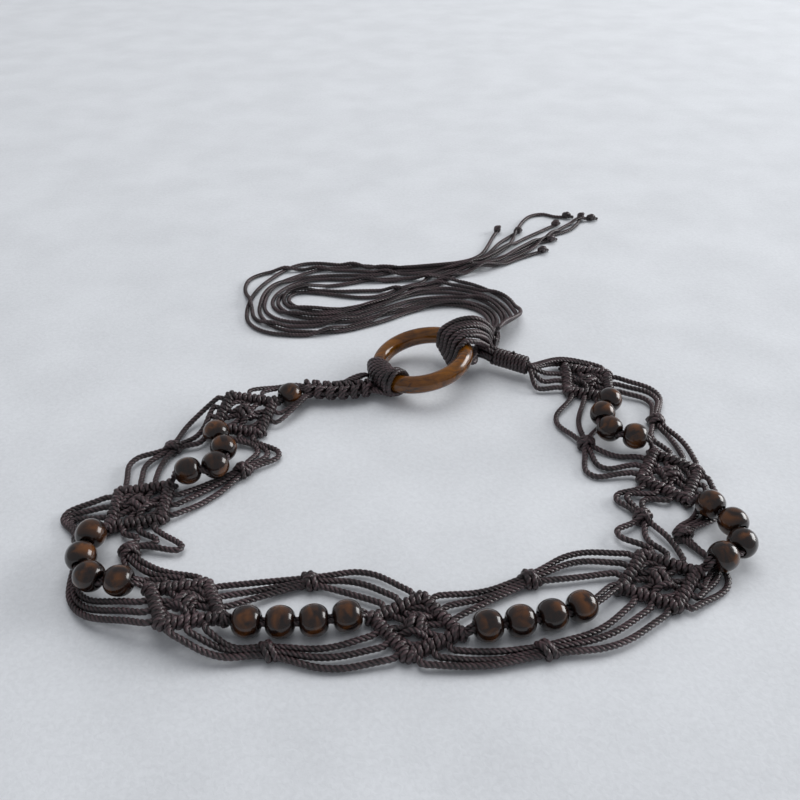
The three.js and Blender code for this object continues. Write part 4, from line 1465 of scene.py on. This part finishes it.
# How the free ends change places: at each share of the way, their order from the loop's outside, and the
# spread of the whole bundle
TIE_ORDERS = [
    (0.0, (0, 1, 2, 3, 4, 5, 6, 7), 1.0),
    (0.09, (0, 1, 2, 3, 4, 5, 6, 7), 1.1),
    (0.19, (1, 0, 2, 4, 3, 5, 7, 6), 1.3),
    (0.28, (1, 2, 0, 4, 5, 3, 7, 6), 1.1),
    (0.37, (2, 1, 4, 0, 5, 7, 3, 6), 0.95),
    (0.46, (2, 4, 1, 0, 7, 5, 6, 3), 1.25),
    (0.56, (4, 2, 0, 1, 7, 6, 5, 3), 1.3),
    (0.65, (2, 0, 4, 1, 6, 7, 3, 5), 1.15),
    (0.73, (0, 2, 1, 4, 3, 6, 5, 7), 0.95),
    (0.8, (0, 1, 2, 3, 4, 5, 6, 7), 0.8),
]
TIE_LEAVES = 0.79
TIE_LANE = 1.25
TIE_HALF = (len(TIE_ENDS) - 1) / 2
TIE_STATIONS = 44
TIE_STEP = 0.0007
TIE_RADIUS = CORD_DIAMETER / 2
TIE_SEED = 170
PLAN_WINDOW = 17  # steps over which the free ends are softened in plan
HEIGHT_WINDOW = 9  # the same, in height
HUMP_SLOPE = 0.3
NESTING = 0.94  # how near two crossing cords come, in cord diameters


def eased(values, times):
    """The values at their times as a smooth change from one to the next."""

    def at(time):
        k = int(np.clip(np.searchsorted(times, time, side="right") - 1, 0, len(times) - 2))
        share = np.clip((time - times[k]) / (times[k + 1] - times[k]), 0, 1)
        share = share * share * (3 - 2 * share)
        return values[k] * (1 - share) + values[k + 1] * share

    return at


def softened(values, window):
    """A moving average that keeps both ends where they are."""
    kernel = np.hanning(window + 2)[1:-1]
    padded = np.pad(values, window // 2, mode="reflect", reflect_type="odd")
    return np.convolve(padded, kernel / kernel.sum(), mode="valid")


def tie_ways():
    """The eight free ends in plan, before they are stacked over each other."""
    routes = []
    for name in ("inner", "middle", "outer"):
        route = smooth([spot(x, y) for x, y in TIE_ROUTES[name]])
        routes.append(spaced(route, length_of(route) / TIE_STATIONS)[0][:TIE_STATIONS])
    times = [time for time, _, _ in TIE_ORDERS]
    ways = []
    for cord, ends in enumerate(TIE_ENDS):
        draw = np.random.default_rng(TIE_SEED + cord)
        lanes = []
        for _, order, spread in TIE_ORDERS:
            rank = order.index(cord)
            lanes.append((1 - rank / TIE_HALF) * TIE_LANE * spread + draw.uniform(-0.1, 0.1))
        lanes[0] = (1 - cord / TIE_HALF) * TIE_LANE * 0.5 + 0.45
        lane_at = eased(lanes, times)
        points = []
        for station in range(int(TIE_STATIONS * TIE_LEAVES)):
            inner, middle, outer = (route[station] for route in routes)
            lane = lane_at(station / TIE_STATIONS)
            points.append(middle + (inner - middle) * max(lane, 0) + (outer - middle) * max(-lane, 0))
        points += [spot(x, y) for x, y in ends]
        way = spaced(smooth(points), TIE_STEP)[0]
        plan = [softened(way[:, axis], PLAN_WINDOW) for axis in range(2)]
        ways.append(np.column_stack([*plan, way[:, 2]]))
    return ways


def stacked(ways, radius):
    """Lays the cords on the table and lifts each over those laid before it, in long low humps."""
    laid = []
    reach = radius * 2 * NESTING
    for way in ways:
        heights = np.full(len(way), ORIGIN[2] + radius)
        for other in laid:
            gaps = np.linalg.norm(way[:, None, :2] - other[None, :, :2], axis=2)
            needed = other[None, :, 2] + np.sqrt(np.maximum(reach**2 - gaps**2, 0))
            needed[gaps >= reach] = 0
            heights = np.maximum(heights, needed.max(axis=1))
        for i in range(1, len(heights)):
            heights[i] = max(heights[i], heights[i - 1] - HUMP_SLOPE * TIE_STEP)
        for i in range(len(heights) - 2, -1, -1):
            heights[i] = max(heights[i], heights[i + 1] - HUMP_SLOPE * TIE_STEP)
        way[:, 2] = softened(heights, HEIGHT_WINDOW)
        laid.append(way)
    return laid


TIE_WAYS = stacked(tie_ways(), TIE_RADIUS)


END_COIL_RADIUS = 0.00135
END_TURNS = 2.0
END_PITCH = 0.0021
END_TURN_RADIUS = 0.00125
END_OVER_RADIUS = 0.00115
END_TIP_RADIUS = 0.0011
END_TIP_LENGTH = 0.0055


def end_knot(name, point, along):
    """A small overhand knot at a free end, with the cord's cut end past it."""
    cords = CordMesh()
    across = left_of(along)
    middle = point + UP * mm(1.4)
    slant = unit(along + across * 0.35)
    path = coil(middle, slant, left_of(slant), UP, END_COIL_RADIUS, END_TURNS, END_PITCH, FROM_BELOW)
    cords.add(path, END_TURN_RADIUS, groove=TIGHT)
    over = [middle - along * mm(2.8), middle - across * mm(1.6) + UP * mm(2.1), middle + along * mm(2.8)]
    cords.add(over, END_OVER_RADIUS, groove=TIGHT)
    tip = point + along * END_TIP_LENGTH
    cords.add([middle, point + along * mm(3) + UP * mm(0.2), tip], END_TIP_RADIUS)
    return cords.piece(name, *TIE_NODES)


def make_ties():
    for number, way in enumerate(TIE_WAYS, 1):
        cords = CordMesh()
        line = cords.add(way, TIE_RADIUS, smoothed=False, step=TIE_STEP)
        piece = cords.piece(f"free_end_{number}", *TIE_NODES)
        knot = end_knot(f"end_knot_{number}", line[-1], unit(level(line[-1] - line[-6])))


# Stage

CAMERA_PLACE = (0, -0.296, 0.258)
CAMERA_TILT = 54
CAMERA_LENS = 38.25
CAMERA_SENSOR = 36.0
WINDOW_PLACE = (2.6, 0.9, 0.95)
WINDOW_SIZE = (1.7, 1.3)
CEILING_PLACE = (0.1, 1.5, 2.8)
CEILING_SIZE = 3.0
LIT_PLACE = (0, 0, 0.01)
SKY_COLOUR = (0.93, 0.95, 1.0, 1.0)
FLOOR_SIZE = 6
FLOOR_DEPTH = 0.86  # how light the cloth's darker patches are, as a share of its colour
CLOUD_SCALE = 22.0
GRAIN_SCALE = 520.0
FOLD_STRETCH = (3.0, 7.0, 1.0)
FOLD_HEIGHT = 45.0
GRAIN_HEIGHT = 0.3


def lamp(name, power, location, **values):
    """A soft lamp that faces the belt."""
    data = bpy.data.lights.new(name, "AREA")
    data.energy = power
    for key, value in values.items():
        setattr(data, key, value)
    light = bpy.data.objects.new(name, data)
    light.location = location
    light.rotation_euler = (Vector(LIT_PLACE) - Vector(location)).to_track_quat("-Z", "Y").to_euler()
    bpy.context.scene.collection.objects.link(light)
    return light


def make_camera():
    data = bpy.data.cameras.new("camera")
    data.sensor_width = CAMERA_SENSOR
    data.lens = CAMERA_LENS
    data.clip_start = 0.01
    camera = bpy.data.objects.new("camera", data)
    camera.location = ORIGIN + vec(*CAMERA_PLACE)
    camera.rotation_euler = (math.radians(CAMERA_TILT), 0, 0)
    bpy.context.scene.collection.objects.link(camera)
    bpy.context.scene.camera = camera


def make_floor():
    colours = bpy.context.scene.belt_stage
    deselect()
    bpy.ops.mesh.primitive_grid_add(x_subdivisions=8, y_subdivisions=8, size=FLOOR_SIZE)
    floor = bpy.context.object
    floor.name = floor.data.name = "floor"
    material, nodes, shader = new_material("pale_table")
    place = nodes.new("ShaderNodeTexCoord").outputs["Object"]
    cloudy = nodes.span(nodes.noise(place, CLOUD_SCALE, 3.0), 0.35, 0.65)
    grain = nodes.span(nodes.noise(place, GRAIN_SCALE, 3.0, 0.6), 0.3, 0.7)
    colour = tuple(colours.floor)
    deeper = tuple(channel * FLOOR_DEPTH for channel in colour[:3]) + (1.0,)
    share = nodes.math("ADD", nodes.math("MULTIPLY", cloudy, 0.45), nodes.math("MULTIPLY", grain, 0.55))
    nodes.join(nodes.mix(share, deeper, colour), shader["Base Color"])
    folds = nodes.noise(nodes.stretched(place, FOLD_STRETCH), 1.0, 2.0, 0.5)
    deep = nodes.math("MULTIPLY", folds, FOLD_HEIGHT)
    height = nodes.math("ADD", deep, nodes.math("MULTIPLY", grain, GRAIN_HEIGHT))
    nodes.join(nodes.bumped(height, 0.3, mm(0.3)), shader["Normal"])
    shader["Roughness"].default_value = 0.6
    floor.data.materials.append(material)


def make_light():
    light = bpy.context.scene.belt_stage
    width, height = WINDOW_SIZE
    lamp("window", light.window_power, WINDOW_PLACE, shape="RECTANGLE", size=width, size_y=height)
    ceiling = lamp("ceiling", light.ceiling_power, CEILING_PLACE, shape="DISK", size=CEILING_SIZE)
    ceiling.visible_glossy = False
    world = bpy.context.scene.world or bpy.data.worlds.new("world")
    bpy.context.scene.world = world
    world.use_nodes = True
    background = world.node_tree.nodes["Background"]
    background.inputs["Color"].default_value = SKY_COLOUR
    background.inputs["Strength"].default_value = light.sky_strength
    bpy.context.scene.view_settings.view_transform = "Standard"


# Sizes and colours that a user would change


def colour_property(name, description, default):
    return bpy.props.FloatVectorProperty(
        name=name, description=description, subtype="COLOR", size=4, min=0, max=1, default=default
    )


class BELT_PG_cords(bpy.types.PropertyGroup):
    body: colour_property("Cord", "The cord's own colour", linear(56, 35, 36))
    deep: colour_property("Deep cord", "The cord's darker patches", linear(33, 20, 21))
    # The wax flecks' colour, which also paints the highlight on the plies' crests
    wax_and_highlight: colour_property("Wax", "The wax on the cord's crests", linear(112, 90, 95))
    # The colour of the painted shade in the grooves between the plies and in the crevices between cords
    groove: colour_property("Groove", "The grooves between the plies", linear(11, 7, 8))


class BELT_PG_woods(bpy.types.PropertyGroup):
    bead_dark: colour_property("Bead, dark", "The beads' dark grain", linear(16, 8, 6))
    bead_body: colour_property("Bead", "The beads' own colour", linear(34, 17, 10))
    bead_amber: colour_property("Bead, amber", "The beads' light patches", linear(100, 58, 20))
    ring_dark: colour_property("Ring, dark", "The ring's dark grain", linear(60, 34, 8))
    ring_body: colour_property("Ring", "The ring's own colour", linear(112, 64, 4))
    ring_amber: colour_property("Ring, light", "The ring's light grain", linear(148, 92, 8))


class BELT_PG_stage(bpy.types.PropertyGroup):
    floor: colour_property("Floor", "The table's colour", linear(228, 231, 235))
    window_power: bpy.props.FloatProperty(
        name="Window light",
        description="Power of the soft light from the right",
        default=52.0,
        min=0,
        unit="POWER",
    )
    ceiling_power: bpy.props.FloatProperty(
        name="Ceiling light",
        description="Power of the soft light from above",
        default=50.0,
        min=0,
        unit="POWER",
    )
    sky_strength: bpy.props.FloatProperty(
        name="Sky light",
        description="Strength of the light from all round",
        default=0.36,
        min=0,
    )


GROUPS = (
    ("belt_cords", BELT_PG_cords),
    ("belt_woods", BELT_PG_woods),
    ("belt_stage", BELT_PG_stage),
)


class BELT_OT_camera(bpy.types.Operator):
    """Set the camera at the photograph's viewing angle"""

    bl_idname = "belt.camera"
    bl_label = "Camera"

    def execute(self, context):
        make_camera()
        return {"FINISHED"}


class BELT_OT_ties(bpy.types.Operator):
    """Lay the eight free ends, each with its end knot"""

    bl_idname = "belt.ties"
    bl_label = "Free ends"

    def execute(self, context):
        make_ties()
        return {"FINISHED"}


class BELT_OT_diamonds(bpy.types.Operator):
    """Knot the seven pierced diamonds"""

    bl_idname = "belt.diamonds"
    bl_label = "Diamonds"

    def execute(self, context):
        for index in range(len(MOTIFS)):
            make_diamond(index)
        return {"FINISHED"}


class BELT_OT_strands(bpy.types.Operator):
    """Lay the bare strands beside the bead strings, with their gathering knots"""

    bl_idname = "belt.strands"
    bl_label = "Side strands"

    def execute(self, context):
        for row in STRANDS:
            make_strands(row)
        return {"FINISHED"}


class BELT_OT_bead_cords(bpy.types.Operator):
    """Run the pairs of cords that carry the beads"""

    bl_idname = "belt.bead_cords"
    bl_label = "Bead cords"

    def execute(self, context):
        for index in range(len(BEAD_STRINGS)):
            make_bead_cord(index)
        return {"FINISHED"}


class BELT_OT_beads(bpy.types.Operator):
    """Turn one wooden bead and thread its copies"""

    bl_idname = "belt.beads"
    bl_label = "Beads"

    def execute(self, context):
        make_beads()
        return {"FINISHED"}


class BELT_OT_ring(bpy.types.Operator):
    """Turn the wooden ring"""

    bl_idname = "belt.ring"
    bl_label = "Ring"

    def execute(self, context):
        make_ring()
        return {"FINISHED"}


class BELT_OT_ring_wrap(bpy.types.Operator):
    """Coil the belt's first cords round the ring"""

    bl_idname = "belt.ring_wrap"
    bl_label = "Coils on the ring"

    def execute(self, context):
        make_ring_wrap()
        return {"FINISHED"}


class BELT_OT_sennit(bpy.types.Operator):
    """Knot the band between the ring and the first diamond"""

    bl_idname = "belt.sennit"
    bl_label = "Square-knot band"

    def execute(self, context):
        make_sennit()
        return {"FINISHED"}


class BELT_OT_neck(bpy.types.Operator):
    """Bind the cords behind the last diamond into the coiled neck"""

    bl_idname = "belt.neck"
    bl_label = "Coiled neck"

    def execute(self, context):
        make_fan()
        make_neck_wrap()
        return {"FINISHED"}


class BELT_OT_hitch(bpy.types.Operator):
    """Lead the bundle under the ring and over it"""

    bl_idname = "belt.hitch"
    bl_label = "Hitch on the ring"

    def execute(self, context):
        make_hitch()
        return {"FINISHED"}


class BELT_OT_stage(bpy.types.Operator):
    """Set the table and the lights"""

    bl_idname = "belt.stage"
    bl_label = "Stage"

    def execute(self, context):
        make_floor()
        make_light()
        return {"FINISHED"}


OPERATORS = (
    BELT_OT_camera,
    BELT_OT_ties,
    BELT_OT_hitch,
    BELT_OT_neck,
    BELT_OT_ring_wrap,
    BELT_OT_sennit,
    BELT_OT_strands,
    BELT_OT_bead_cords,
    BELT_OT_diamonds,
    BELT_OT_beads,
    BELT_OT_ring,
    BELT_OT_stage,
)


class BELT_PT_panel(bpy.types.Panel):
    """The belt's pieces, sizes and colours"""

    bl_idname = "BELT_PT_panel"
    bl_label = "Macrame belt"
    bl_space_type = "VIEW_3D"
    bl_region_type = "UI"
    bl_category = "Belt"

    def draw(self, context):
        for operator in OPERATORS:
            self.layout.operator(operator.bl_idname)
        for attribute, group in GROUPS:
            box = self.layout.box()
            settings = getattr(context.scene, attribute)
            for name in group.__annotations__:
                box.prop(settings, name)


CLASSES = (*(group for _, group in GROUPS), *OPERATORS, BELT_PT_panel)


def register():
    for cls in CLASSES:
        bpy.utils.register_class(cls)
    for attribute, group in GROUPS:
        setattr(bpy.types.Scene, attribute, bpy.props.PointerProperty(type=group))


def unregister():
    for attribute, _ in GROUPS:
        delattr(bpy.types.Scene, attribute)
    for cls in reversed(CLASSES):
        bpy.utils.unregister_class(cls)


def main():
    register()
    for operator in OPERATORS:
        group, name = operator.bl_idname.split(".")
        getattr(getattr(bpy.ops, group), name)()


if __name__ == "__main__":
    main()
